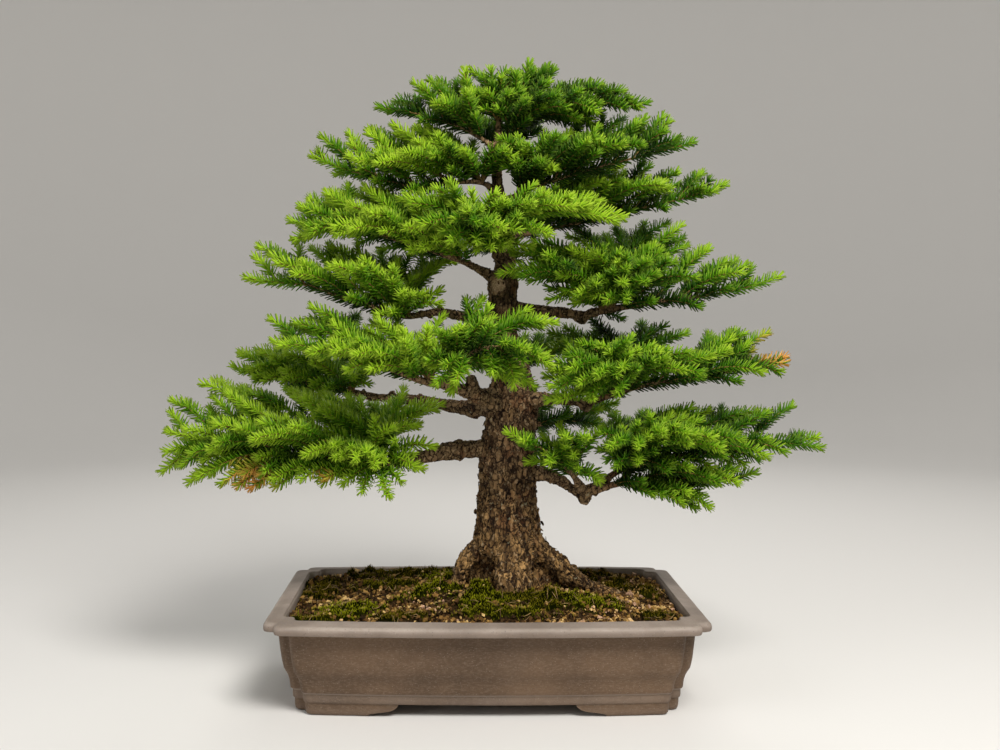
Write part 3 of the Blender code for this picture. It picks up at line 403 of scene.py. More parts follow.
# Each leafy limb: its radii at the trunk and where the leaves start, how much of it is bare, its route
# and the tips of its shoots. A tip's fourth value says where along the limb the shoot grows, if it is told.
limbs = {
    "left_low": dict(
        radii=(11.0, 6.5), bare=118,
        route=((5, -2, 288), (-45, -12, 285), (-90, -25, 276), (-140, -35, 275), (-200, -40, 280),
               (-265, -40, 290), (-335, -30, 300), (-388, -20, 310)),
        tips=((-380, 20, 343), (-350, 62, 368), (-320, -75, 322), (-385, 5, 268),
              (-355, -50, 255), (-280, -65, 250), (-268, -125, 312), (-250, 72, 350), (-212, -105, 292),
              (-190, -85, 264), (-155, -125, 288), (-172, 55, 342), (-62, 30, 340, 0.36),
              (-70, -70, 298, 0.32), (-118, -108, 246), (-88, -90, 276, 0.3),
              (-200, -5, 338), (-350, -72, 290), (-286, 40, 350), (-242, 26, 356), (-304, -14, 340),
              (-330, 24, 356), (-160, 24, 346), (-122, 42, 342), (-262, -62, 332), (-215, 62, 350),
              (-302, -24, 270), (-334, -36, 263), (-240, -40, 262), (-372, -24, 288), (-150, -60, 258),
              (-365, -44, 274), (-316, -56, 254), (-195, -70, 256), (-350, 10, 276), (-88, -60, 322, 0.36),
              (-250, -70, 252), (-296, -58, 252)),
    ),
    "left_back": dict(
        radii=(9.0, 5.0), bare=208,
        route=((18, 4, 332), (-35, 40, 336), (-85, 70, 342), (-145, 95, 345), (-180, 110, 352),
               (-220, 120, 358), (-275, 118, 370), (-332, 102, 385)),
        tips=((-330, 140, 402), (-312, 172, 405), (-258, 68, 402), (-258, 200, 388),
              (-205, 215, 385), (-207, 42, 352), (-150, 178, 375), (-170, 55, 372, 0.5),
              (-285, 65, 368), (-300, 60, 384), (-280, 100, 392)),
    ),
    "left_front": dict(
        radii=(12.5, 5.0), bare=128,
        route=((28, -8, 340), (-20, -66, 360), (-42, -86, 369), (-70, -110, 375), (-100, -120, 386),
               (-130, -125, 398), (-170, -120, 408), (-215, -102, 416), (-250, -85, 420)),
        tips=((-226, -35, 432), (-205, 8, 442), (-200, -150, 410), (-172, -182, 412), (-175, -80, 438),
              (-158, -165, 392), (-140, -45, 442), (-100, -150, 432), (-72, -140, 436, 0.38),
              (-56, -75, 450, 0.36)),
    ),
    "front_low": dict(
        radii=(6.0, 4.0), bare=26,
        route=((-42, -86, 369), (-38, -110, 390), (-18, -125, 408), (10, -135, 415), (45, -150, 408),
               (70, -165, 394)),
        tips=((2, -72, 468), (80, -120, 440), (0, -158, 440), (-30, -175, 432), (12, -76, 392),
              (45, -192, 412), (58, -100, 368), (-20, -150, 388, 0.25), (-60, -145, 398, 0.2),
              (10, -165, 388, 0.5), (34, -152, 374, 0.6), (-50, -168, 376, 0.3),
              (-34, -128, 366, 0.3)),
    ),
    "left_mid": dict(
        radii=(7.0, 4.0), bare=120,
        route=((22, -4, 445), (-30, -30, 450), (-55, -45, 455), (-95, -60, 450), (-130, -70, 460),
               (-165, -75, 470), (-205, -70, 485), (-250, -60, 490), (-288, -50, 495)),
        tips=((-265, -22, 530), (-245, -95, 512), (-215, -20, 532), (-175, -125, 508),
              (-135, 42, 535), (-110, -50, 516), (-45, 25, 520, 0.36), (-62, -85, 466, 0.28),
              (-130, -96, 452), (-100, -110, 478, 0.36), (-145, -110, 514), (-185, 28, 535),
              (-139, -60, 512)),
    ),
    "left_upper": dict(
        radii=(7.0, 3.4), bare=58,
        route=((22, -4, 490), (-15, -35, 510), (-60, -60, 525), (-110, -75, 540), (-160, -70, 553),
               (-200, -60, 558), (-235, -50, 563)),
        tips=((-225, -85, 540), (-218, -20, 593), (-212, -62, 582), (-180, 35, 603), (-160, -105, 576),
              (-175, -110, 544), (-140, 62, 590), (-95, -20, 585), (-135, -118, 566), (-128, 25, 592),
              (-140, 10, 570), (-165, -30, 566), (-88, -5, 548), (-80, -112, 528), (-190, -30, 600),
              (-172, -60, 548), (-195, -98, 554), (-160, -100, 546), (-226, -66, 540)),
    ),
    "front_centre": dict(
        radii=(6.5, 3.6), bare=52,
        route=((25, -3, 516), (5, -50, 533), (-12, -90, 545), (-20, -125, 555), (-25, -165, 565)),
        tips=((-98, -92, 586, 0.42), (-18, -120, 590), (8, -134, 588), (48, -145, 576),
              (110, -122, 575, 0.36), (155, -98, 565, 0.32), (15, -178, 546), (66, -152, 542),
              (48, -88, 532, 0.3), (-72, -152, 552), (-42, -152, 535), (-58, -108, 596),
              (-12, -100, 528), (-12, -140, 534), (4, -122, 528), (16, -106, 530)),
    ),
    "left_high": dict(
        radii=(5.0, 3.2), bare=20,
        route=((20, -1, 597), (-2, -12, 612), (-35, -20, 612), (-80, -25, 606), (-120, -30, 613),
               (-170, -22, 628), (-213, -15, 645)),
        tips=((-198, 22, 663), (-170, -12, 672), (-145, 32, 685), (-115, -20, 682), (-85, 28, 686),
              (-55, 48, 682), (-155, -75, 632), (-100, -82, 640), (-52, -62, 648), (-120, 72, 665),
              (-52, 88, 655), (-78, 8, 676), (8, -50, 650, 0.12), (28, -55, 640, 0.12), (-140, -12, 672)),
    ),
    "left_top": dict(
        radii=(3.6, 2.6), bare=16,
        route=((17, 0, 652), (-5, -5, 668), (-40, -10, 684), (-90, -15, 698), (-133, -10, 705)),
        tips=((-115, 22, 718), (-90, -8, 734), (-60, 27, 745), (-30, -5, 750), (-65, -55, 702),
              (-30, -60, 714), (-55, 62, 715)),
    ),
    "apex": dict(
        radii=(4.2, 4.2), bare=0,
        route=((17, 0, 679.7), (19, 0, 715), (20, 0, 757)),
        tips=((2, 12, 752), (37, -10, 748), (45, 16, 732), (2, -30, 724), (28, -36, 722), (-10, 26, 736),
              (22, 38, 730), (12, -8, 757), (28, 8, 758), (-14, -6, 754), (60, 2, 752), (20, -22, 744)),
    ),
    "right_top": dict(
        radii=(3.8, 2.6), bare=16,
        route=((16, 0, 648), (40, 5, 678), (70, 10, 702), (110, 10, 714), (160, 5, 714), (203, 0, 710)),
        tips=((178, 22, 730), (145, -20, 727), (125, 28, 740), (90, -2, 750), (70, 27, 754),
              (135, -57, 692), (90, -62, 708), (125, 68, 715), (78, 78, 724), (52, -52, 702),
              (120, 20, 690), (150, 40, 682), (118, -22, 688), (60, -8, 757), (84, 10, 756),
              (192, -18, 704), (40, -14, 742, 0.2), (172, -34, 700)),
    ),
    "right_high": dict(
        radii=(4.6, 3.2), bare=16,
        route=((18, 0, 588), (62, -18, 608), (105, -30, 620), (155, -30, 634), (205, -20, 648),
               (258, -10, 663)),
        tips=((230, 22, 683), (200, -15, 690), (180, 28, 698), (185, -78, 650), (130, -88, 656),
              (85, -72, 660), (45, -45, 662), (165, 78, 678), (70, -78, 630), (140, -30, 676),
              (222, -12, 693), (40, -66, 632, 0.16), (24, -58, 660, 0.16)),
    ),
    "right_upper": dict(
        radii=(5.5, 3.4), bare=30,
        route=((25, -2, 545), (75, 30, 558), (140, 42, 572), (205, 36, 588), (260, 26, 600),
               (303, 16, 614)),
        tips=((280, 36, 630), (284, 8, 618), (240, -8, 626), (215, 48, 640), (120, -22, 604),
              (100, 72, 614), (185, 98, 648), (145, -28, 588), (215, -48, 606), (170, -15, 616),
              (150, 85, 640)),
    ),
    "right_mid": dict(
        radii=(9.0, 5.0), bare=112,
        route=((24, -2, 456), (85, -10, 455), (120, -16, 451), (140, -20, 456), (220, -20, 469),
               (275, -12, 476), (325, -4, 486), (368, 5, 500)),
        tips=((320, 26, 520), (308, -50, 502), (285, 32, 535), (245, -95, 495), (250, 88, 553),
              (220, 112, 573), (135, -78, 522), (185, -120, 488), (135, 95, 558),
              (95, -45, 528, 0.38), (42, -38, 525, 0.35), (25, -75, 500, 0.33),
              (185, 128, 565), (190, -108, 512), (265, 60, 540),
              (60, -70, 492, 0.34), (75, -30, 500, 0.35), (100, -62, 480, 0.37), (112, -78, 474, 0.38),
              (145, -92, 468, 0.42), (126, -58, 490, 0.38), (84, -62, 470, 0.33), (114, -66, 467, 0.36),
              (298, -4, 514)),
    ),
    "right_low": dict(
        radii=(8.5, 4.4), bare=112,
        route=((30, -6, 346), (85, -30, 350), (118, -46, 347), (142, -50, 354), (190, -50, 368),
               (260, -36, 376), (320, -12, 388), (372, 0, 400)),
        tips=((353, -46, 385), (338, 46, 416), (290, -52, 410), (248, -110, 386), (252, 94, 422),
              (205, 82, 418), (175, -122, 411), (150, 72, 432, 0.38), (112, -98, 418, 0.36),
              (95, -168, 392, 0.34), (127, -162, 386, 0.37), (235, -102, 408), (158, -72, 416),
              (95, 95, 411), (318, 20, 432), (300, -20, 428), (110, -120, 378, 0.36), (140, -100, 372, 0.38),
              (84, -150, 371, 0.36), (120, -142, 364, 0.38), (78, -128, 372, 0.34), (84, -136, 356, 0.35)),
    ),
    "right_long": dict(
        radii=(6.0, 4.0), bare=28,
        route=((128, -33, 240), (162, -30, 264), (192, -40, 275), (245, -50, 285), (305, -40, 293),
               (365, -20, 297), (412, 0, 301)),
        tips=((353, -70, 292), (368, 40, 320), (320, 66, 317), (295, -102, 308), (260, -117, 312),
              (260, 46, 323), (215, 86, 323), (188, 70, 314), (142, -148, 305, 0.16),
              (190, -112, 312), (285, 100, 307), (230, -132, 317), (270, -60, 272), (240, -84, 274),
              (300, -30, 272), (310, -50, 276), (335, 20, 284), (155, -70, 290, 0.16),
              (154, -104, 279, 0.18)),
    ),
    "right_bottom": dict(
        radii=(9.0, 4.4), bare=126,
        route=((34, -2, 266), (85, -20, 254), (116, -29, 236), (140, -35, 244), (170, -36, 250),
               (215, -34, 248), (270, -30, 250), (332, -20, 260)),
        tips=((265, -72, 228), (297, -76, 256), (275, 42, 248), (222, 55, 252),
              (255, -30, 236), (240, -60, 238), (252, -52, 224)),
    ),
    "front_right": dict(
        radii=(5.0, 3.6), bare=22,
        route=((118, -31, 240), (98, -60, 268), (70, -85, 293), (20, -110, 318)),
        tips=((66, -42, 305), (65, -122, 286), (106, -142, 316), (84, -66, 320), (124, -92, 262),
              (48, -60, 280)),
    ),
    "back_low": dict(
        radii=(6.5, 4.0), bare=66,
        route=((33, 4, 312), (62, 72, 310), (110, 125, 311), (158, 170, 320)),
        tips=((75, 112, 324), (120, 152, 328), (188, 184, 318), (88, 152, 288), (148, 188, 296),
              (72, 180, 308)),
    ),
    "back_mid": dict(
        radii=(6.0, 3.6), bare=50,
        route=((32, 3, 376), (50, 80, 390), (80, 140, 397), (104, 200, 405)),
        tips=((132, 152, 412), (100, 222, 398), (80, 170, 424), (45, 190, 396), (22, 142, 408),
              (-2, 168, 402)),
    ),
    "back_high": dict(
        radii=(5.5, 3.4), bare=36,
        route=((25, 2, 514), (10, 80, 540), (-15, 140, 563), (-35, 190, 578)),
        tips=((-72, 150, 590), (-58, 198, 602), (0, 208, 600), (32, 172, 592), (66, 132, 580),
              (-95, 112, 572)),
    ),
    "back_top": dict(
        radii=(4.0, 2.8), bare=16,
        route=((16, 1, 634), (30, 50, 658), (40, 95, 684), (50, 135, 703)),
        tips=((76, 110, 710), (55, 118, 728), (24, 140, 724), (-6, 108, 708), (86, 142, 694),
              (8, 148, 694)),
    ),
}

forks = ("front_low", "right_long", "front_right")  # limbs that grow from another limb

# The trunk, as height, middle x, middle y and radius.
trunkRows = (
    (92.4, 36, 0, 58), (124, 36, 0, 58), (133, 36, 0, 55), (146, 35, 0, 49), (160, 33, 0, 44.5),
    (178, 31, 0, 41), (202, 28, -1, 37.5), (228, 28, -2, 34.5), (282, 29, -2, 34),
    (306, 31, -2, 31), (328, 33, -2, 31), (350, 32, -2, 32), (368, 34, -2, 25), (385, 35, -2, 20),
    (420, 26, -2, 15.5), (452, 21, -2, 16), (474, 22, -3, 17), (492, 23, -3, 17.5), (510, 25, -3, 12.5),
    (535, 25, -3, 11.5), (590, 19, 0, 8), (625, 15, 0, 6.2), (679, 17, 0, 4.2),
)
# Each root of the flare: its direction in degrees, how far it stands out, half its width in degrees and
# the heights where it starts and where it stands out in full. Those below nothing are hollows.
roots = (
    (182, 6, 18, 190, 168), (352, 8, 16, 182, 160), (262, 14, 22, 172, 136), (192, -22, 22, 160, 142),
    (221, -24, 17, 166, 146), (322, -27, 22, 160, 141), (125, 14, 20, 190, 150), (55, 15, 20, 185, 145),
    (90, -12, 12, 160, 130),
)
# Each sawn-off limb: its foot, its end and the radii there.
stubs = (
    ((120, -30, 240), (119, -36, 224), 8.5, 5.0),
    ((114, -44, 348), (124, -50, 338), 7.0, 4.5),
    ((113, -14, 451), (124, -17, 443), 7.5, 4.5),
    ((-14, -64, 362), (-18, -72, 380), 8.0, 5.0),
    ((45, -1, 322), (62, 4, 326), 8.0, 4.0),
)
treeLook = dict(
    flareTop=205.0, flareFoot=124.0, flareHollow=9.0, trunkDepth=0.92,
    coreTip=1.7, terminalShare=0.62, shootAngle=math.radians(37), shootArch=0.25, hangingArch=0.35,
    shootLean=0.28, firstRoot=9.0, lastRoot=0.93, leaderOverlap=9.0, shortOf=6.0,
)


def limbRadius(limb, path, s):
    thick, leafy = limb["radii"]
    bare = max(limb["bare"], 1e-6)
    near = leafy + (thick - leafy) * np.clip(1 - s / bare, 0, 1) ** 1.3
    share = np.clip((s - limb["bare"]) / (path.length - limb["bare"]) / treeLook["terminalShare"], 0, 1)
    far = leafy + (treeLook["coreTip"] - leafy) * share ** 0.8
    return np.where(s < limb["bare"], near, far)


def shootPath(limbPath, limb, tip):
    # the arched way of one shoot from its limb to its tip
    look = treeLook
    target = np.array(tip[:3], float)
    target -= look["shortOf"] * limbPath.heading(limbPath.length * 0.7)
    if len(tip) > 3:
        s = tip[3] * limbPath.length
    else:
        lengths = np.linspace(limb["bare"], limbPath.length, 60)
        off = np.linalg.norm(limbPath.at(lengths) - target, axis=1)
        s = lengths[np.argmin(off)] - off.min() / math.tan(look["shootAngle"])
    leafy = limbPath.length - limb["bare"]
    lowest = limb["bare"] + min(look["firstRoot"], 0.1 * leafy)
    s = min(max(s, lowest), limb["bare"] + look["lastRoot"] * leafy)
    root = limbPath.at(s)
    reach = np.linalg.norm(target - root)
    lean = (target - root) / reach * (1 - look["shootLean"]) + limbPath.heading(s) * look["shootLean"]
    arch = look["shootArch"] * (1.0 if target[2] > root[2] else look["hangingArch"])
    middle = root + unit(lean) * reach / 2 + zUp * arch * reach
    return bentPath(root, middle, target, 15)


def flare(angle, height):
    # how far the roots stand out of the trunk in this direction at this height
    look = treeLook
    share = np.clip((look["flareTop"] - height) / (look["flareTop"] - look["flareFoot"]), 0, 1)
    out = -look["flareHollow"] * share**2
    for heading, stand, width, top, full in roots:
        off = (angle - heading + 180) % 360 - 180
        out = out + stand * np.clip((top - height) / (top - full), 0, 1) * np.exp(-((off / width) ** 2))
    return out


def trunkAt(height):
    # the trunk's middle and radius at this height
    rows = np.array(trunkRows, float)
    return [np.interp(height, rows[:, 0], rows[:, k]) for k in (1, 2, 3)]


# Camera, floor and light

# Places and sizes here are in metres, the lens and the sensor in millimetres.
view = dict(place=(-0.047, -1.496, 0.444), lens=43.4, sensor=36.0, shiftX=0.044, shiftY=-0.054)
studio = dict(
    floorInner=0.5, floorFlat=2.6, sweep=1.6, wallTop=4.5, floorSides=64, floorColour=(0.72, 0.71, 0.69),
    skyColour=(1.0, 0.99, 0.97), skyStrength=0.27,
    # each lamp: where it is, where it points, its two sides, its watts and its colour
    lamps=(("key", (0.7, -1.7, 2.1), (0.0, 0.0, 0.38), 1.0, 1.0, 78.0, (1.0, 0.97, 0.93)),
           ("fill", (-1.9, -1.3, 1.1), (0.0, 0.0, 0.4), 1.4, 1.4, 12.0, (0.97, 0.98, 1.0)),
           ("back", (0.3, 1.9, 2.0), (0.0, 0.0, 0.45), 1.4, 1.0, 18.0, (1.0, 0.98, 0.95))),
)


def makeCamera():
    data = bpy.data.cameras.new("camera")
    data.lens = view["lens"]
    data.sensor_width = view["sensor"]
    data.shift_x = view["shiftX"]
    data.shift_y = view["shiftY"]
    data.clip_start = 0.05
    camera = objectFrom("camera", data)
    camera.location = view["place"]
    camera.rotation_euler = (math.pi / 2, 0.0, 0.0)
    bpy.context.scene.camera = camera


def makeFloor():
    # a round floor that sweeps up into a wall on every side
    flat, sweep, top = studio["floorFlat"], studio["sweep"], studio["wallTop"]
    bend = np.linspace(0, math.pi / 2, 9)
    radii = np.concatenate([[studio["floorInner"], flat], flat + sweep * np.sin(bend)[1:], [flat + sweep]])
    heights = np.concatenate([[0.0, 0.0], sweep * (1 - np.cos(bend))[1:], [top]])
    turns = np.linspace(0, 2 * np.pi, studio["floorSides"] + 1)[:-1]
    rings = np.stack([np.outer(radii, np.cos(turns)), np.outer(radii, np.sin(turns)),
                      np.repeat(heights[:, None], len(turns), axis=1)], axis=-1)
    points = rings.reshape(-1, 3) / mm - shift
    points = np.vstack([points, -shift])
    faces = [ringFaces(len(radii), len(turns)), fanFaces(np.arange(len(turns))[::-1], len(points) - 1)]
    floor = objectFrom("floor", meshFrom("floor", points, faces))
    floor.data.polygons.foreach_set("use_smooth", np.full(len(floor.data.polygons), True))
    finish = Finish("floor", {"Base Color": (*studio["floorColour"], 1.0), "Roughness": 0.9})
    floor.data.materials.append(finish.material)


def makeLights():
    world = bpy.data.worlds.new("studio")
    bpy.context.scene.world = world
    world.use_nodes = True
    sky = world.node_tree.nodes["Background"]
    sky.inputs["Color"].default_value = (*studio["skyColour"], 1.0)
    sky.inputs["Strength"].default_value = studio["skyStrength"]
    for name, place, target, wide, high, watts, colour in studio["lamps"]:
        data = bpy.data.lights.new(name, "AREA")
        data.shape = "RECTANGLE"
        data.size, data.size_y = wide, high
        data.energy = watts
        data.color = colour
        lamp = objectFrom(name, data)
        lamp.location = place
        lamp.rotation_euler = (Vector(target) - Vector(place)).to_track_quat("-Z", "Y").to_euler()
    bpy.context.scene.view_settings.view_transform = "Standard"


# The clay pot

potLook = dict(
    length=500.0, depth=345.0, bow=9.0, notch=(14.0, 17.0), corner=8.0, inner=4.0, endTaper=0.82,
    footHeight=14.7, footLength=(79.0, 62.0), footInset=37.0, footWall=24.0, cut=5.0,
    # the cut between two feet, as how far from the foot and how high
    footSteps=((0.0, 0.0), (1.5, 2.6), (9.0, 4.2), (21.0, 6.0), (28.0, 8.0), (33.0, 11.5), (34.5, 14.7)),
    drainRadius=12.0, drainX=105.0, drainTop=40.0, drainSides=24,
    relief=0.28, reliefScale=45.0, sharpFrom=38.0,
    # how many points the stretches of the outline have
    convex=7, concave=5, along=24, across=14,
)
# The pot's section, as how far inside the rim's edge and how high, from the foot up and over to the floor.
potSection = (
    (43.6, 0.0), (40.2, 0.5), (38.2, 2.4), (37.3, 6.5), (37.0, 13.2), (36.6, 14.4), (35.6, 15.3),
    (35.0, 16.4), (34.6, 20.0), (34.6, 24.2), (34.0, 25.6), (32.7, 26.4), (32.0, 27.6), (31.6, 31.0),
    (30.8, 36.5), (29.0, 42.5), (26.4, 47.2), (24.2, 51.0), (22.6, 57.0), (21.2, 64.0), (19.8, 75.0),
    (18.4, 87.0), (17.4, 95.6), (16.6, 97.7), (15.0, 98.4), (8.0, 98.4), (2.4, 98.5), (0.8, 99.2),
    (0.0, 101.2), (0.0, 104.8), (0.7, 106.8), (2.6, 108.2), (5.0, 108.8), (14.0, 109.9), (21.6, 110.9),
    (23.4, 110.5), (24.4, 109.0), (25.0, 104.0), (27.0, 82.0), (29.5, 57.0), (34.0, 41.0), (40.0, 31.0),
    (46.0, 25.0),
)
# The clay's colours, and the heights where each band starts, is full, fades and ends.
clayLook = dict(
    brown=((0.078, 0.045, 0.023), (0.128, 0.076, 0.041)), grey=((0.211, 0.171, 0.144), (0.297, 0.246, 0.210)),
    # the light colour on the rim's rounded edge is wear with painted highlight, the dark colour under the rim
    # is painted shade, and the light colour along the belt's top edge is painted highlight
    wornAndLitEdge=(0.48, 0.42, 0.36), shadeUnderRim=(0.160, 0.118, 0.090), foot=(0.180, 0.126, 0.090),
    brushed=(0.240, 0.175, 0.125), beltHighlight=(0.360, 0.290, 0.235), stain=(0.085, 0.062, 0.045),
    paleSpeck=(0.42, 0.38, 0.33), darkSpeck=(0.045, 0.034, 0.026), speckScale=620.0,
    rimFrom=(94.0, 100.0), footTo=(2.0, 16.0), beltBand=(13.0, 17.0, 24.5, 29.0),
    wornAndLitBand=(104.6, 107.2, 108.3, 109.0), shadeUnderRimBand=(98.0, 99.0, 102.0, 105.5),
    beltHighlightBand=(24.6, 25.4, 26.4, 27.4),
)


def arc(middle, radius, start, end, count):
    a = np.radians(np.linspace(start, end, count))
    return [(middle[0] + radius * math.cos(t), middle[1] + radius * math.sin(t)) for t in a]


def potOutline(inset, convex, concave, along, across):
    # the notched outline this far inside the rim's edge, anticlockwise from the right-hand side.
    # The two ends of the pot stand a little steeper than its long sides.
    look = potLook
    halfX = look["length"] / 2 - look["endTaper"] * inset
    halfY = look["depth"] / 2 - look["bow"] - inset
    stepX, stepY = halfX - look["notch"][0], halfY - look["notch"][1]
    corner, inner = look["corner"], look["inner"]
    quarter = arc((halfX - corner, stepY - corner), corner, 0, 90, convex)
    quarter += arc((stepX + inner, stepY + inner), inner, 270, 180, concave)
    quarter += arc((stepX - corner, halfY - corner), corner, 0, 90, convex)
    reach = stepX - corner
    right = [(halfX, y) for y in np.linspace(0, stepY - corner, across // 2 + 2)[1:-1]]
    side = [(x, halfY) for x in np.linspace(reach, -reach, along + 2)[1:-1]]
    top = right + quarter + side + [(-x, y) for x, y in reversed(right + quarter)]
    outline = top + [(-x, -y) for x, y in top]
    bowed = []
    for x, y in outline:
        swell = look["bow"] * max(0.0, 1 - (x / reach) ** 2)
        bowed.append((x, y + math.copysign(swell, y) if abs(y) > stepY else y))
    return np.array(bowed)


def potRing(inset, height, counts):
    outline = potOutline(inset, *counts)
    return np.column_stack([outline, np.full(len(outline), height)])


def prism(name, outline, low, high, axis):
    # an outline in two axes, drawn out along the third
    points = np.array([np.insert(spot, axis, end) for end in (low, high) for spot in outline], float)
    count = len(outline)
    faces = [list(range(count)), [count + k for k in range(count)][::-1]]
    faces += [(k, count + k, count + (k + 1) % count, (k + 1) % count) for k in range(count)]
    made = objectFrom(name, bpy.data.meshes.new(name))
    made.data.from_pydata(((points + shift) * mm).tolist(), [], faces)
    return made


def cutAway(body, cutters):
    group = bpy.data.collections.new("cuts")
    bpy.context.scene.collection.children.link(group)
    for cutter in cutters:
        work = bmesh.new()
        work.from_mesh(cutter.data)
        bmesh.ops.recalc_face_normals(work, faces=work.faces)
        work.to_mesh(cutter.data)
        work.free()
        bpy.context.scene.collection.objects.unlink(cutter)
        group.objects.link(cutter)
    modifier = body.modifiers.new("cuts", "BOOLEAN")
    modifier.operation = "DIFFERENCE"
    modifier.operand_type = "COLLECTION"
    modifier.collection = group
    made = appliedMesh(body)
    body.modifiers.remove(modifier)
    for cutter in cutters:
        bpy.data.objects.remove(cutter)
    bpy.data.collections.remove(group)
    return made


def clayFinish():
    look = clayLook
    finish = Finish("clay", {"Specular IOR Level": 0.42})
    height = finish.height() / mm
    soft = finish.cloud(9.0, 5.0, 0.6)
    body = finish.mix(soft.between(0.36, 0.66), *look["brown"])
    grey = finish.mix(finish.cloud(22.0).between(0.35, 0.65), *look["grey"])
    onRim = (height + 5.0 * (soft - 0.5)).between(*look["rimFrom"])
    onBelt = height.band(*look["beltBand"])
    colour = finish.mix((onRim * 0.9 + onBelt * 0.26).clamp(), body, grey)
    # the rim's rounded top edge is lighter: wear on the clay, with painted highlight
    wornAndLit = height.band(*look["wornAndLitBand"]) * (0.05 + 0.35 * soft.between(0.38, 0.62))
    colour = finish.mix(wornAndLit, colour, look["wornAndLitEdge"])
    # painted shade: the rim's underside and the lower part of its front are darkened
    colour = finish.mix(height.band(*look["shadeUnderRimBand"]) * 0.55, colour, look["shadeUnderRim"])
    low = 1 - height.between(*look["footTo"])
    colour = finish.mix(low * 0.45, colour, look["foot"])
    brushed = finish.cloud(380.0, 5.0, 0.7, finish.stretched((0.6, 0.6, 1.5))).between(0.44, 0.64)
    colour = finish.mix(brushed * 0.26, colour, look["brushed"])
    # painted highlight: a light line along the top edge of the belt
    colour = finish.mix(height.band(*look["beltHighlightBand"]) * 0.4, colour, look["beltHighlight"])
    grain = finish.red(finish.cells(look["speckScale"], output="Color"))
    speck = finish.cells(look["speckScale"])
    pale = grain.between(0.86, 0.9) * (1 - speck.between(0.22, 0.34))
    dark = (1 - grain.between(0.07, 0.1)) * (1 - speck.between(0.25, 0.4))
    colour = finish.mix(pale * 0.26, colour, look["paleSpeck"])
    colour = finish.mix(dark * 0.45, colour, look["darkSpeck"])
    stain = finish.cloud(5.0, 3.0, 0.5, finish.stretched((1.0, 1.0, 0.35))).between(0.56, 0.72)
    colour = finish.mix(stain * 0.35, colour, look["stain"])
    fine = finish.cloud(900.0, 3.0, 0.6)
    relief = fine * 0.6 + finish.cloud(170.0, 4.0) * 0.9 - speck * 0.25
    finish.set(colour=colour, roughness=0.58 + 0.2 * fine, normal=finish.bump(relief, 0.0005, 0.55))
    return finish


def makePot():
    look = potLook
    counts = (look["convex"], look["concave"], look["along"], look["across"])
    rings = [potRing(inset, height, counts) for inset, height in potSection]
    faces = tubeFaces(len(rings), len(rings[0]))
    body = objectFrom("potBody", meshFrom("potBody", np.vstack(rings), faces))
    halfX, halfY = look["length"] / 2, look["depth"] / 2
    alongX, alongY = look["footLength"]
    cutters = []
    for reach, half, foot, axis in ((halfY, halfX, alongX, 1), (halfX, halfY, alongY, 0)):
        gap = half - look["footInset"] - foot
        right = [(gap, -look["cut"])] + [(gap - past, z) for past, z in smoothRows(look["footSteps"], 4)]
        cutters.append(prism("cloud", right + [(-x, z) for x, z in reversed(right)], -reach, reach, axis))
    innerX = halfX - look["endTaper"] * look["footInset"] - look["footWall"]
    innerY = halfY - look["bow"] - look["footInset"] - look["footWall"]
    inner = [(x * innerX, y * innerY) for x, y in square]
    cutters.append(prism("underside", inner, -look["cut"], look["footHeight"], 2))
    sides = look["drainSides"]
    for side in (-1, 1):
        hole = arc((side * look["drainX"], 0.0), look["drainRadius"], 0, 360 - 360 / sides, sides)
        cutters.append(prism("drain", hole, look["footHeight"] - look["cut"], look["drainTop"], 2))
    mesh = cutAway(body, cutters)
    bpy.data.objects.remove(body)
    mesh.materials.clear()
    mesh.update()
    roughen(mesh, look["relief"], look["reliefScale"])
    makePiece("pot_clay", mesh, clayFinish(), ["pot"])
    mesh.set_sharp_from_angle(angle=math.radians(look["sharpFrom"]))
    print("pot:", countTriangles(mesh), "triangles")


def roughen(mesh, depth, scale):
    # a hand-made unevenness, by a fixed noise
    places = np.empty(len(mesh.vertices) * 3, np.float32)
    mesh.vertices.foreach_get("co", places)
    places = places.reshape(-1, 3).astype(float)
    moved = [noise.noise(Vector(p) * scale) + 0.5 * noise.noise(Vector(p) * scale * 2.7) for p in places]
    places += readNormals(mesh) * np.array(moved)[:, None] * depth * mm
    mesh.vertices.foreach_set("co", places.ravel())
    mesh.update()


# Soil, grit and moss

soilLook = dict(
    inset=26.3, edge=99.0, frontRise=6.0, backRise=5.0, mound=23.0, moundX=30.0, moundReach=(125.0, 105.0),
    lumps=(1.28, 0.88), grain=1.2, sunk=1.6, around=44, rings=46, gap=0.4,
    # the bed's wall against the pot, told like the pot's section
    lining=((46.0, 25.0), (40.0, 31.0), (34.0, 41.0), (29.5, 57.0), (27.2, 82.0)),
    field=(230, 155), wallGap=(24.0, 28.0), trunkGap=1.0, mossRise=8.5,
    earth=((0.005, 0.003, 0.002), (0.034, 0.019, 0.008)), paleEarth=(0.055, 0.034, 0.016),
    shadeUnderMoss=((0.004, 0.005, 0.0004), (0.014, 0.016, 0.001)),
)
gritLook = dict(
    step=4.2, size=(1.9, 5.0), sunk=0.8, seed=31, grain=(0.09, 0.05, 0.02),
    stops=((0.0, (0.010, 0.006, 0.003)), (0.25, (0.032, 0.018, 0.007)), (0.45, (0.090, 0.044, 0.015)),
           (0.62, (0.210, 0.112, 0.030)), (0.78, (0.400, 0.230, 0.065)), (0.92, (0.760, 0.520, 0.210)),
           (1.0, (0.560, 0.340, 0.220))),
)
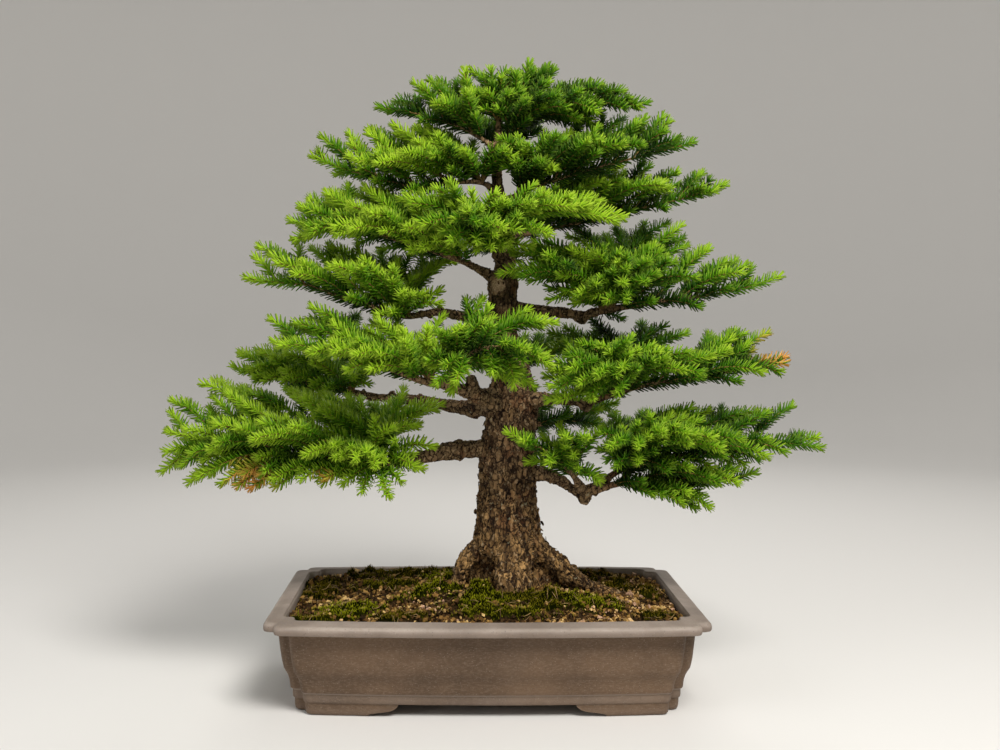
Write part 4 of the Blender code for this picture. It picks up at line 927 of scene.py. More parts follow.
mossLook = dict(
    step=1.95, height=5.4, sunk=2.4, foot=0.62, seed=47,
    # the dark colour is painted shade at the blades' feet
    dark=((0.004, 0.004, 0.0004), (0.013, 0.012, 0.001)), lit=((0.150, 0.165, 0.005), (0.520, 0.530, 0.022)),
    olive=((0.070, 0.052, 0.003), (0.310, 0.235, 0.022)),
)
litterLook = dict(
    step=5.2, strands=420, length=(6.0, 14.0), radii=(0.35, 0.5, 0.25), seed=53,
    brown=((0.09, 0.045, 0.018), (0.38, 0.25, 0.10)), spots=(0.05, 0.03, 0.015),
)
# Each patch of moss: its middle, its two half widths and how bright it is.
mossPatches = (
    (-165, -72, 52, 40, 0.9), (-49, 92, 36, 30, 1.0), (-131, 55, 44, 30, 0.5), (-5, -66, 44, 36, 1.0),
    (54, -62, 60, 34, 0.5), (118, -60, 44, 34, 0.85), (-112, 128, 90, 30, 0.35), (-68, -14, 38, 26, 0.85),
    (-6, -44, 16, 13, 0.8), (-205, 40, 30, 60, 0.3), (30, 120, 90, 28, 0.4), (165, 50, 30, 30, 0.35),
    (-30, 58, 30, 24, 0.65), (-196, -118, 34, 24, 0.5), (195, -95, 26, 20, 0.3), (-95, -112, 36, 20, 0.4),
    (130, 110, 60, 26, 0.3), (20, -112, 60, 18, 0.6), (205, 20, 18, 40, 0.3), (-60, 20, 22, 22, 0.5),
)
# Each cushion of moss beside the foot: its middle, how far it reaches and how high it is.
cushions = ((-6, -42, 15, 11), (-54, -4, 17, 8), (80, -46, 14, 6))


def soilHeight(x, y):
    look = soilLook
    across, back = x / (potLook["length"] / 2), y / (potLook["depth"] / 2)
    front, rear = np.maximum(0.0, -back) ** 2, np.maximum(0.0, back) ** 2
    base = look["edge"] + look["frontRise"] * front + look["backRise"] * rear
    reachX, reachY = look["moundReach"]
    hill = look["mound"] * np.exp(-(((x - look["moundX"]) / reachX) ** 2) - (y / reachY) ** 2)
    wide, narrow = look["lumps"]
    lumps = wide * np.sin(x / 19 + 0.7) * np.cos(y / 16) + narrow * np.sin(x / 9 - y / 12)
    return base + hill + lumps * (1 - np.maximum(abs(across), abs(back)) ** 6)


def noiseAt(x, y, size, seed):
    # a fixed noise over the soil, with lumps of this size
    return np.array([noise.noise(Vector((a / size, b / size, seed))) for a, b in zip(x, y)])


def roughAt(x, y, size, seed, octaves):
    # the same, with finer lumps added
    spots = [Vector((a / size, b / size, seed)) for a, b in zip(x, y)]
    return np.array([noise.fractal(spot, 1.0, 2.0, octaves) for spot in spots])


def mossAmount(x, y):
    # from 0 on bare grit to 1 in the middle of a patch, and how bright the moss is there
    ragged = roughAt(x, y, 13, 1.7, 4) * 1.25
    amount, bright = np.zeros_like(x), np.zeros_like(x)
    for px, py, wide, deep, shine in mossPatches:
        inside = np.clip(1.25 - np.hypot((x - px) / wide, (y - py) / deep) + 0.55 * ragged, 0, 1)
        bright = np.where(inside > amount, shine, bright)
        amount = np.maximum(amount, inside)
    return amount, bright


def mossLift(x, y, moss):
    # how far the moss stands above the soil, in cushions
    lumps = noiseAt(x, y, 13, 9.3) + 0.5 * noiseAt(x, y, 5.5, 2.2)
    lift = soilLook["mossRise"] * moss * (1 + 0.95 * lumps)
    for px, py, reach, rise in cushions:
        lift += rise * np.exp(-((x - px) ** 2 + (y - py) ** 2) / reach**2)
    return lift


def nearTrunk(x, y):
    # how far a spot on the soil is outside the trunk's foot
    across, back = x - trunkRows[1][1], (y - trunkRows[1][2]) / treeLook["trunkDepth"]
    angle = np.degrees(np.arctan2(back, across))
    return np.hypot(across, back) - trunkRows[1][3] - flare(angle, treeLook["flareFoot"] + 2.0)


def inPot(x, y):
    # whether a spot is on the soil, clear of the wall and the notched corners
    gapX, gapY = soilLook["wallGap"]
    halfX, halfY = potLook["length"] / 2 - gapX, potLook["depth"] / 2 - potLook["bow"] - gapY
    swell = potLook["bow"] * np.maximum(0.0, 1 - (x / halfX) ** 2)
    notch = (abs(x) > halfX - potLook["notch"][0]) & (abs(y) > halfY - potLook["notch"][1])
    return (abs(x) < halfX) & (abs(y) < halfY + swell) & ~notch


def soilFinish():
    look = soilLook
    finish = Finish("soil", {"Specular IOR Level": 0.0})
    moss = finish.value("moss")
    coarse, fine = finish.cloud(90.0), finish.cloud(420.0, 5.0)
    earth = finish.mix(fine.between(0.35, 0.65), *look["earth"])
    earth = finish.mix(coarse.between(0.5, 0.7) * 0.6, earth, look["paleEarth"])
    # painted shade: under the moss the soil is near black, for the dark gaps between the blades
    green = finish.mix(coarse.between(0.4, 0.65), *look["shadeUnderMoss"])
    colour = finish.mix(moss.between(0.25, 0.6), earth, green)
    finish.set(colour=colour, roughness=0.85 + 0.1 * coarse, normal=finish.bump(fine, 0.0012, 0.9))
    return finish


def gritFinish():
    finish = Finish("grit", {"Specular IOR Level": 0.06})
    colour = finish.ramp(finish.value("chip"), gritLook["stops"])
    grain = finish.cloud(700.0, 5.0, 0.65)
    colour = finish.mix(grain.between(0.42, 0.66) * 0.5, colour, gritLook["grain"])
    finish.set(colour=colour, roughness=0.78 + 0.15 * grain, normal=finish.bump(grain, 0.0006, 0.7))
    return finish


def mossFinish():
    look = mossLook
    finish = Finish("moss", {"Specular IOR Level": 0.0})
    bright, along, tone = (finish.value(name) for name in ("bright", "along", "tone"))
    olive, lit = finish.mix(tone, *look["olive"]), finish.mix(tone, *look["lit"])
    tip = finish.mix(bright.between(0.35, 0.8), olive, lit)
    # painted shade: each blade darkens towards its foot, among the other blades
    colour = finish.mix(along.between(0.1, 1.0), finish.mix(tone, *look["dark"]), tip)
    finish.set(colour=colour, roughness=0.7 + 0.1 * tone)
    return finish


def litterFinish():
    finish = Finish("litter", {"Specular IOR Level": 0.3})
    tone = finish.value("tone")
    colour = finish.mix(tone, *litterLook["brown"])
    colour = finish.mix(finish.cloud(500.0).between(0.5, 0.7) * 0.5, colour, litterLook["spots"])
    finish.set(colour=colour, roughness=0.65 + 0.15 * tone)
    return finish


def makeSoilBed():
    look = soilLook
    counts = (4, 3, look["around"], look["around"] // 2)
    rings = [potRing(inset + look["gap"], z + look["gap"], counts) for inset, z in look["lining"]]
    wall = potOutline(look["inset"], *counts)
    middle = np.array((trunkRows[0][1], 0.0))
    for share in np.linspace(0, 0.97, look["rings"]):
        x, y = (wall + (middle - wall) * share).T
        moss, _ = mossAmount(x, y)
        grain = look["grain"] * roughAt(x, y, 5, 0.3, 3) * (1 - moss)
        rings.append(np.column_stack([x, y, soilHeight(x, y) + mossLift(x, y, moss) + grain - look["sunk"]]))
    points = np.vstack(rings)
    mesh = meshFrom("soil_bed", points, tubeFaces(len(rings), len(wall)))
    addValues(mesh, {"moss": mossAmount(points[:, 0], points[:, 1])[0]})
    makePiece("soil_bed", mesh, soilFinish(), ["soil"])
    print("soil bed:", countTriangles(mesh), "triangles")


def scatter(step, rng):
    # spots on the soil, one in each square of a grid
    wide, deep = soilLook["field"]
    xs, ys = np.meshgrid(np.arange(-wide, wide, step), np.arange(-deep, deep, step))
    x = xs.ravel() + rng.uniform(-0.5, 0.5, xs.size) * step
    y = ys.ravel() + rng.uniform(-0.5, 0.5, ys.size) * step
    keep = inPot(x, y) & (nearTrunk(x, y) > soilLook["trunkGap"])
    return x[keep], y[keep]


def turned(rng, count):
    # that many random turns, as matrices
    w, x, y, z = unitRows(rng.normal(size=(count, 4))).T
    return np.stack([np.stack([1 - 2 * (y * y + z * z), 2 * (x * y - z * w), 2 * (x * z + y * w)], -1),
                     np.stack([2 * (x * y + z * w), 1 - 2 * (x * x + z * z), 2 * (y * z - x * w)], -1),
                     np.stack([2 * (x * z - y * w), 2 * (y * z + x * w), 1 - 2 * (x * x + y * y)], -1)], -2)


def makeGrit():
    look = gritLook
    rng = np.random.default_rng(look["seed"])
    x, y = scatter(look["step"], rng)
    moss, _ = mossAmount(x, y)
    keep = moss < rng.uniform(0.15, 0.75, len(x))
    x, y, moss = x[keep], y[keep], moss[keep]
    count = len(x)
    size = rng.uniform(*look["size"], count)
    size[rng.random(count) < 0.1] *= 1.5
    corners = np.array([(sx, sy, sz) for sz in (-1, 1) for sx, sy in square], float)
    corners[:4, :2] *= 0.72
    uneven = rng.uniform(0.55, 1.1, (count, 8, 1))
    sides = rng.uniform((0.75, 0.55, 0.4), (1.2, 0.9, 0.75), (count, 3))
    chips = corners[None] * uneven * sides[:, None, :]
    chips = np.einsum("nij,nkj->nki", turned(rng, count), chips) * (size / 2)[:, None, None] * 1.25
    z = soilHeight(x, y) + mossLift(x, y, moss) - look["sunk"] + size * rng.uniform(0.0, 0.4, count)
    chips += np.stack([x, y, z], -1)[:, None, :]
    box = [(3, 2, 1, 0), (4, 5, 6, 7), (0, 1, 5, 4), (1, 2, 6, 5), (2, 3, 7, 6), (3, 0, 4, 7)]
    # painted light: besides its patches, the grit is a little lighter towards the right
    patch = 0.3 * noiseAt(x, y, 40, 5.1) + 0.07 * np.clip(x / 150, -1, 1)
    chip = np.clip(rng.beta(1.5, 1.6, count) + patch, 0, 1)
    mesh = meshFrom("soil_grit", chips.reshape(-1, 3), repeated(box, 8, count))
    addValues(mesh, {"chip": np.repeat(chip, 8)})
    makePiece("soil_grit", mesh, gritFinish(), ["soil"], smooth=False)
    print("grit:", count, "chips,", countTriangles(mesh), "triangles")


def makeMoss():
    look = mossLook
    rng = np.random.default_rng(look["seed"])
    x, y = scatter(look["step"], rng)
    moss, bright = mossAmount(x, y)
    keep = moss > rng.uniform(0.2, 0.75, len(x))
    x, y, moss, bright = x[keep], y[keep], moss[keep], bright[keep]
    count = len(x)
    turn, lean = rng.uniform(0, 2 * np.pi, count), rng.uniform(0.15, 1.15, count)
    tall = look["height"] * rng.uniform(0.6, 1.15, count)
    foot = np.stack([x, y, soilHeight(x, y) + mossLift(x, y, moss) - look["sunk"]], -1)
    way = np.stack([np.cos(turn) * np.sin(lean), np.sin(turn) * np.sin(lean), np.cos(lean)], -1)
    spin = rng.uniform(0, 2 * np.pi, count)
    points = []
    for k in range(3):
        a = spin + 2 * np.pi * k / 3
        points.append(foot + look["foot"] * np.stack([np.cos(a), np.sin(a), np.zeros(count)], -1))
    points = np.stack(points + [foot + way * tall[:, None]], axis=1)
    mesh = meshFrom("moss", points.reshape(-1, 3), repeated([(0, 1, 3), (1, 2, 3), (2, 0, 3)], 4, count))
    addValues(mesh, {"along": np.tile((0.0, 0.0, 0.0, 1.0), count), "bright": np.repeat(bright, 4),
                     "tone": np.repeat(rng.random(count), 4)})
    makePiece("moss", mesh, mossFinish(), ["soil"])
    print("moss:", count, "blades,", countTriangles(mesh), "triangles")


def makeLitter():
    # fallen needles and dead moss stems that lie on the soil
    look = litterLook
    rng = np.random.default_rng(look["seed"])
    x, y = scatter(look["step"], rng)
    chosen = rng.permutation(len(x))[:look["strands"]]
    shape = Shape(["tone"])
    for px, py in zip(x[chosen], y[chosen]):
        turn, long = rng.uniform(0, 2 * np.pi), rng.uniform(*look["length"])
        ahead = np.array((math.cos(turn), math.sin(turn)))
        across = np.array((-ahead[1], ahead[0]))
        bend = rng.uniform(-0.25, 0.25) * long
        steps = np.array((-0.5, 0.0, 0.5))[:, None]
        spots = np.array((px, py)) + ahead * long * steps + across * bend * steps * steps
        moss, _ = mossAmount(*spots.T)
        heights = soilHeight(*spots.T) + mossLift(*spots.T, moss) + rng.uniform(0.8, 2.6, 3)
        path = Path(np.column_stack([spots, heights]), smooth=False)
        addTube(shape, tubeRings(path, np.linspace(0, path.length, 3), look["radii"], 3), tone=rng.random())
    mesh = shape.mesh("litter")
    makePiece("litter", mesh, litterFinish(), ["soil"])
    print("litter:", countTriangles(mesh), "triangles")


# Trunk and bare limbs

barkLook = dict(
    voxel=1.8, smoothing=1, sides=72, step=5, collar=0.55, collarReach=17.0,
    # the relief is deepest low on the tree and on thick wood, and least on thin limbs
    thinnest=0.42, thickest=28, coarseBelow=185, coarseOver=25, bigBelow=230, bigOver=90,
    plateSize=5.2, plateStretch=2.1, plateDepth=2.6, flakeSize=3.2, flakeStretch=1.5, flakeDepth=1.5,
    wander=((9, 3.4), (3.2, 1.7)), crackWidth=0.26,
    furrow=1.6, furrowSize=7.5, furrowWidth=0.14, furrowStretch=0.78, grain=0.8, grainSize=3.1,
    scales=1200, scaleLength=(5.0, 9.5), scaleWidth=(0.3, 0.6), scaleTilt=(0.25, 0.8), scaleThick=0.45,
    scalesFrom=118, scaleSeed=61, knobSeed=19,
    scarPlace=(18, -4, 487), scarFace=(16, -26, 487), scarRadius=12.5, cutDepth=4.5,
    # the colour of raised flakes is weathered bark with painted highlight; the sunk colour is painted shade in
    # the cracks
    grey=((0.034, 0.016, 0.007), (0.300, 0.184, 0.088)), tan=((0.036, 0.016, 0.005), (0.470, 0.272, 0.098)),
    tanUpTo=(140.0, 290.0), limb=(0.310, 0.208, 0.105), red=(0.150, 0.052, 0.020), stain=(0.045, 0.025, 0.013),
    raised=(0.56, 0.40, 0.23), sunk=(0.018, 0.009, 0.004), lichen=(0.42, 0.40, 0.26),
    twig=((0.110, 0.062, 0.016), (0.360, 0.240, 0.060)), cut=((0.270, 0.175, 0.095), (0.600, 0.440, 0.270)),
)
# Roots that run on over the soil from the flare, as their way and their radii.
runningRoots = (
    (((48, -4, 172), (66, -9, 163), (84, -13, 152), (100, -14, 138), (118, -8, 124), (140, 2, 114),
      (158, 10, 108), (176, 15, 103)), (12.0, 12.0, 11.5, 11.0, 8.5, 6.0, 5.0, 3.5)),
    (((14, -2, 176), (-5, -3, 166), (-18, -4, 155), (-26, -5, 142), (-31, -5, 129), (-36, -4, 117),
      (-48, 0, 106)), (12.0, 12.0, 11.5, 10.5, 8.5, 6.5, 4.5)),
    (((16, 8, 172), (3, 11, 152), (-10, 14, 132), (-22, 20, 108)), (12.0, 13.0, 12.0, 8.0)),
    (((12, 44, 150), (2, 56, 133), (-10, 68, 119), (-26, 80, 109)), (10.0, 8.5, 6.5, 4.0)),
    (((62, 40, 148), (74, 54, 130), (88, 66, 116), (104, 76, 107)), (10.0, 8.5, 6.0, 4.0)),
)


def trunkRings():
    look = barkLook
    turns = 360 * np.arange(look["sides"]) / look["sides"]
    a = np.radians(turns)
    rings = []
    for height, x, y, radius in smoothRows(trunkRows, look["step"]):
        knobs = [noise.noise(Vector((math.cos(t) * 2, math.sin(t) * 2, height / 24))) for t in a]
        out = radius + flare(turns, max(height, treeLook["flareFoot"])) + np.array(knobs) * 0.06 * radius
        rings.append(np.column_stack([x + out * np.cos(a), y + treeLook["trunkDepth"] * out * np.sin(a),
                                      np.full(len(a), height)]))
    return np.array(rings)


def woodShells():
    # closed shells that overlap where limbs, roots, knobs and the scar grow from the trunk, and their axes
    look = barkLook
    rng = np.random.default_rng(look["knobSeed"])
    shape, axes = Shape(), []
    addTube(shape, trunkRings())
    for name, limb in limbs.items():
        if not limb["bare"]:
            continue
        path = Path(limb["route"])
        s = np.arange(0.0, limb["bare"] + 5.0, 2.2)
        inside = 0.0 if name in forks else trunkAt(path.at(0.0)[2])[2]
        collar = 1 + look["collar"] * np.exp(-np.maximum(0.0, s - inside) / look["collarReach"])
        lumps = np.array([0.17 * noise.noise(Vector((k / 13, len(name), 0.5)))
                          + 0.10 * noise.noise(Vector((k / 4.5, len(name), 7.5))) for k in s])
        radii = limbRadius(limb, path, s) * (1 + lumps) * np.where(s < inside, 1.0, collar)
        addTube(shape, tubeRings(path, s, radii, 16))
        axes += zip(path.at(s), path.heading(s), radii)
        addKnobs(shape, path, inside + 12.0, limb["bare"], limb, rng)
    for foot, tip, wide, narrow in stubs:
        path = Path((foot, tip), smooth=False)
        s = np.array((0.0, 0.3, 0.6, 0.85, 0.97, 1.0)) * path.length
        radii = (wide, wide, wide * 0.93, narrow * 1.25, narrow * 0.9, narrow * 0.4)
        addTube(shape, tubeRings(path, s, radii, 14))
        axes += [(path.at(k), path.heading(k), wide * 0.8) for k in s]
    for way, radii in runningRoots:
        path = Path(way)
        s = np.linspace(0.0, path.length, 24)
        thick = np.interp(s, np.linspace(0, path.length, len(radii)), radii)
        thick = thick * (1 + 0.2 * np.array([noise.noise(Vector((k / 8, thick[0], 3.5))) for k in s]))
        addTube(shape, tubeRings(path, s, thick, 16))
        axes += zip(path.at(s), path.heading(s), thick)
    scar = Path((look["scarPlace"], look["scarFace"]), smooth=False)
    s = np.array((0.0, 0.7, 0.92, 1.0, 0.98, 0.86)) * scar.length
    radii = look["scarRadius"] * np.array((1.0, 1.05, 1.02, 0.88, 0.74, 0.6))
    addTube(shape, tubeRings(scar, s, radii, 20))
    return shape, axes


def addKnobs(shape, path, start, end, limb, rng):
    # the stumps of lost twigs along a bare limb
    s = start
    while s < end:
        ahead = path.heading(s)
        out = unit(leaning(ahead, rng.uniform(-0.6, math.pi + 0.6)) + 0.4 * ahead)
        thick = float(limbRadius(limb, path, np.array(s)))
        wide, long = rng.uniform(2.0, 3.4), rng.uniform(2.0, 5.0)
        knob = Path((path.at(s), path.at(s) + out * (thick + long)), smooth=False)
        lengths = np.array((0.0, 0.7, 0.95, 1.0)) * knob.length
        addTube(shape, tubeRings(knob, lengths, (wide * 1.3, wide * 1.1, wide, wide * 0.5), 10))
        s += rng.uniform(14, 28)


def remeshed(mesh, voxel):
    body = objectFrom("shells", mesh)
    modifier = body.modifiers.new("voxels", "REMESH")
    modifier.mode = "VOXEL"
    modifier.voxel_size = voxel * mm
    made = appliedMesh(body)
    bpy.data.objects.remove(body)
    return made


def readPoints(mesh):
    places = np.empty(len(mesh.vertices) * 3, np.float32)
    mesh.vertices.foreach_get("co", places)
    return places.reshape(-1, 3).astype(float) / mm - shift


def writePoints(mesh, points):
    mesh.vertices.foreach_set("co", ((points + shift) * mm).ravel())
    mesh.update()


def smoothed(mesh, points, passes):
    edges = np.empty(len(mesh.edges) * 2, np.int32)
    mesh.edges.foreach_get("vertices", edges)
    a, b = edges.reshape(-1, 2).T
    degree = np.bincount(a, minlength=len(points)) + np.bincount(b, minlength=len(points))
    for _ in range(passes):
        total = np.zeros_like(points)
        np.add.at(total, a, points[b])
        np.add.at(total, b, points[a])
        points = points + 0.5 * (total / degree[:, None] - points)
    return points


def plates(place, size, stretch, ahead, seed):
    # for a place on the bark: how deep in a crack it is, its plate's tone and how far the plate stands out
    along = float(np.dot(place, ahead))
    squeezed = Vector((place - ahead * along * (1 - 1 / stretch)) / size + seed)
    distances, centres = noise.voronoi(squeezed, distance_metric="DISTANCE")
    crack = 1 - min(1.0, (distances[1] - distances[0]) / barkLook["crackWidth"])
    tone = 0.5 + 0.5 * noise.cell(centres[0] * 7.3)
    lean = noise.cell_vector(centres[0] * 5.1) * 2 - Vector((1.0, 1.0, 1.0))
    return crack, tone, (squeezed - centres[0]).dot(lean)


def barkFinish():
    look = barkLook
    finish = Finish("bark", {"Specular IOR Level": 0.2})
    crack, edge, plate, thin, cut = (finish.value(name) for name in ("crack", "edge", "plate", "thin", "cut"))
    height = finish.height() / mm
    fine, coarse = finish.cloud(520.0, 6.0, 0.62), finish.cloud(60.0, 4.0)
    flakes, flakeTone, flakeEdge = finish.flakes(160.0, (1.0, 1.0, 0.42), 1.5)
    chips, chipTone, _ = finish.flakes(360.0, (1.0, 1.0, 0.5), 1.1)
    tone = (0.62 * plate + 0.80 * flakeTone + 0.40 * chipTone - 0.42).clamp()
    grey, tan = finish.mix(tone, *look["grey"]), finish.mix(tone, *look["tan"])
    low = 1 - (height + 90 * (coarse - 0.5)).between(*look["tanUpTo"])
    colour = finish.mix((low * 0.8 + coarse.between(0.56, 0.7) * 0.35).clamp(), grey, tan)
    colour = finish.mix(thin.between(0.1, 0.28) * 0.45, colour, look["limb"])
    colour = finish.mix(finish.cloud(34.0, 3.0).between(0.55, 0.68) * 0.5, colour, look["red"])
    colour = finish.mix(fine.between(0.52, 0.72) * 0.5, colour, look["stain"])
    # raised flakes and lifted flake edges are lighter: weathered outer bark, with painted highlight
    raised = (edge + 0.35 * (flakes + chips)).between(0.55, 1.0)
    colour = finish.mix(raised * 0.5, colour, look["raised"])
    # painted shade: cracks, furrows, the slits between flakes and the low side of each tilted flake are
    # darkened
    slit = 1 - flakeEdge.between(0.02, 0.12)
    sunk = crack.between(0.15, 0.9) * 0.85 + (1 - edge.between(0.02, 0.36)) * 0.75 + slit * 0.8
    colour = finish.mix(sunk.clamp(), colour, look["sunk"])
    colour = finish.mix(thin.between(0.6, 0.95), colour, finish.mix(fine.between(0.4, 0.62), *look["twig"]))
    lichen = finish.cloud(150.0, 3.0).between(0.66, 0.72) * (1 - thin.between(0.5, 0.8))
    colour = finish.mix(lichen * 0.5, colour, look["lichen"])
    colour = finish.mix(cut * 0.9, colour, finish.mix(fine.between(0.35, 0.65), *look["cut"]))
    bumps = (flakes * 1.3 + chips * 0.8 - slit * 0.6) * (1 - cut) + fine * 0.8 + finish.cloud(1300.0, 3.0) * 0.3
    finish.set(colour=colour, roughness=0.82 + 0.12 * fine, normal=finish.bump(bumps, 0.0012, 1.0))
    return finish


def cutFaces(points):
    # 1 on the sawn ends of the stubs and on the scar, 0 elsewhere
    look = barkLook
    faces = [(tip, foot, narrow) for foot, tip, _, narrow in stubs]
    faces.append((look["scarFace"], look["scarPlace"], look["scarRadius"] * 0.74))
    cut = np.zeros(len(points))
    for face, behind, radius in faces:
        face = np.array(face, float)
        way = unit(face - np.array(behind, float))
        along = (points - face) @ way
        across = np.linalg.norm(points - face - along[:, None] * way, axis=1)
        cut = np.maximum(cut, np.clip((radius - across) / 1.5, 0, 1) * (abs(along) < look["cutDepth"]))
    return cut


def makeWood(bark):
    look = barkLook
    shape, axes = woodShells()
    mesh = remeshed(shape.mesh("shells"), look["voxel"])
    points = smoothed(mesh, readPoints(mesh), look["smoothing"])
    writePoints(mesh, points)
    normals = readNormals(mesh)
    tree = KDTree(len(axes))
    for k, (place, _, _) in enumerate(axes):
        tree.insert(place, k)
    tree.balance()
    middleX, middleY, radius = trunkAt(points[:, 2])
    across, back = points[:, 0] - middleX, (points[:, 1] - middleY) / treeLook["trunkDepth"]
    angle, height = np.degrees(np.arctan2(back, across)), np.maximum(points[:, 2], treeLook["flareFoot"])
    fromTrunk = np.hypot(across, back) - radius - flare(angle, height)
    crack, edge, tone, thin, moved = (np.zeros(len(points)) for _ in range(5))
    cut = cutFaces(points)
    ways = np.tile(zUp, (len(points), 1))
    for k, point in enumerate(points):
        _, index, distance = tree.find(point)
        if distance - axes[index][2] < fromTrunk[k]:
            ahead, thick = axes[index][1:]
            ways[k] = ahead
        else:
            ahead, thick = zUp, radius[k]
        low = min(1.0, max(0.0, (look["coarseBelow"] - point[2]) / look["coarseOver"]))
        big = min(1.0, max(0.0, (look["bigBelow"] - point[2]) / look["bigOver"]))
        share = min(1.0, max(look["thinnest"] + (0.9 - look["thinnest"]) * low, thick / look["thickest"]))
        scale = (0.5 + 0.5 * share) * (1 + 0.2 * big)
        spot = point
        for size, reach in look["wander"]:
            spot = spot + np.array(noise.noise_vector(Vector(point / size))) * reach
        gap, tone[k], tilt = plates(spot, look["plateSize"] * scale, look["plateStretch"], ahead, 3.0)
        chip, chipTone, chipTilt = plates(spot, look["flakeSize"] * scale, look["flakeStretch"], ahead, 11.0)
        squeezed = point - ahead * float(np.dot(point, ahead)) * look["furrowStretch"]
        furrow = abs(noise.noise(Vector(squeezed / look["furrowSize"]))) / look["furrowWidth"]
        furrow = max(0.0, 1 - furrow)
        grain = noise.fractal(Vector(point / look["grainSize"]), 0.8, 2.0, 3)
        stand = (look["plateDepth"] * (0.5 * tone[k] - 0.15 * gap + 0.9 * tilt)
                 + look["flakeDepth"] * (0.5 * chipTone - 0.15 * chip + 0.8 * chipTilt)
                 - look["furrow"] * furrow + look["grain"] * grain)
        # the bark's colour turns crack into painted shade, and edge into painted highlight on lifted edges and
        # painted shade on low ones
        crack[k] = min(1.0, 0.3 * gap**3 + 0.25 * chip**3 + 0.9 * furrow**1.5)
        edge[k] = 0.5 + 0.6 * tilt + 0.45 * chipTilt
        thin[k] = 0.5 * (1 - share)
        moved[k] = share * stand * (1 - 0.85 * cut[k])
    points = points + normals * moved[:, None]
    points[:, 2] = np.maximum(points[:, 2], trunkRows[0][0])
    writePoints(mesh, points)
    addValues(mesh, {"crack": crack * (1 - cut), "edge": edge, "plate": tone, "thin": thin, "cut": cut})
    makePiece("trunk_wood", mesh, bark, ["trunk"])
    print("wood:", countTriangles(mesh), "triangles")
    makeScales(mesh, points, ways, thin, bark)


def makeScales(wood, points, ways, thin, bark):
    # loose scales of bark that stand off the trunk and the thick limbs
    look = barkLook
    rng = np.random.default_rng(look["scaleSeed"])
    normals = readNormals(wood)
    likely = np.clip(1.0 - 2.6 * thin, 0.05, 1) * (points[:, 2] > look["scalesFrom"])
    chosen = rng.choice(len(points), look["scales"], replace=False, p=likely / likely.sum())
    shape = Shape(("crack", "edge", "plate", "thin"))
    faces = [ringFaces(2, 6), fanFaces(np.arange(6, 12), 12), np.arange(6)[::-1][None, :]]
    for k in chosen:
        up = normals[k]
        ahead = ways[k] + 0.25 * rng.normal(size=3)
        ahead = unit(ahead - up * np.dot(ahead, up))
        side = np.cross(up, ahead)
        small = 1 - 1.1 * thin[k]
        long = rng.uniform(*look["scaleLength"]) * small
        wide = long * rng.uniform(*look["scaleWidth"])
        tilt = rng.uniform(*look["scaleTilt"]) * rng.choice((-1, 1))
        lift = up * math.cos(tilt) + side * math.sin(tilt)
        across = side * math.cos(tilt) - up * math.sin(tilt)
        turns = 2 * np.pi * (np.arange(6) + rng.uniform(-0.25, 0.25, 6)) / 6
        reach = rng.uniform(0.75, 1.15, 6)
        ring = np.outer(np.cos(turns) * reach * long / 2, ahead)
        ring += np.outer(np.sin(turns) * reach * wide / 2, across)
        middle = points[k] + up * (0.5 * wide * abs(math.sin(tilt)) * 0.75)
        top = middle + ring + lift * look["scaleThick"] * small
        spots = np.vstack([middle + ring * 0.9, top, middle + lift * look["scaleThick"] * small * 1.5])
        # the foot ring of each scale gets a crack value and is darkened: painted shade under the scale
        shape.add(spots, faces, crack=np.repeat((0.6, 0.05), (6, 7)), edge=0.5, plate=rng.uniform(0.0, 0.8),
                  thin=thin[k])
    mesh = shape.mesh("bark_scales")
    makePiece("bark_scales", mesh, bark, ["trunk"], smooth=False)
    print("bark scales:", countTriangles(mesh), "triangles")


# Needles, shoots and twigs

needleLook = dict(
    length=13.6, foot=1.0, tip=0.62, thick=1.6, perMillimetre=1.38, onLimb=1.2, footAngle=68.0, tipAngle=56.0,
    spread=4.5, lift=0.15, closeIn=13.0, closeTo=0.52, ageing=1.8, underLean=0.25, rosette=9, seed=7,
    # the colours of the needles from the oldest to the youngest
    stops=((0.0, (0.004, 0.018, 0.0002)), (0.35, (0.015, 0.065, 0.0004)), (0.62, (0.068, 0.197, 0.0014)),
           (1.0, (0.285, 0.470, 0.016))),
    paleEndAndHighlight=(0.38, 0.47, 0.056), underside=(0.08, 0.18, 0.015), dried=((0.40, 0.13, 0.016), (0.72, 0.40, 0.09)),
)
shootLook = dict(
    radii=(1.5, 0.8), first=5.0, bud=1.5, twigStep=14.0, trunkGap=9.0,
    sideRadii=(1.1, 0.7), sideStep=40.0, sideAngle=37.0, sideLongest=62.0, sideShortest=30.0, sideFrom=46.0,
    sideAlong=(0.18, 0.68), sideTilt=(-0.3, 0.45),
    tuftStep=22.0, tuftLength=(32.0, 54.0), tuftTilt=(-0.5, 0.6),
    besideShare=0.62, beside=(19.0, 28.0), drawnBack=(8.0, 30.0), lower=(-10.0, 4.0), besideFrom=42.0,
    innerFrom=0.18, innerLeast=60.0,
)
# Shoots that have dried out: the spray, the tip they end at and how far from it they are brown.
dryTips = (
    ("right_low", (372, 0, 400), 33.0),
    ("left_low", (-280, -65, 250), 25.0),
    ("left_low", (-190, -85, 264), 10.0),
)


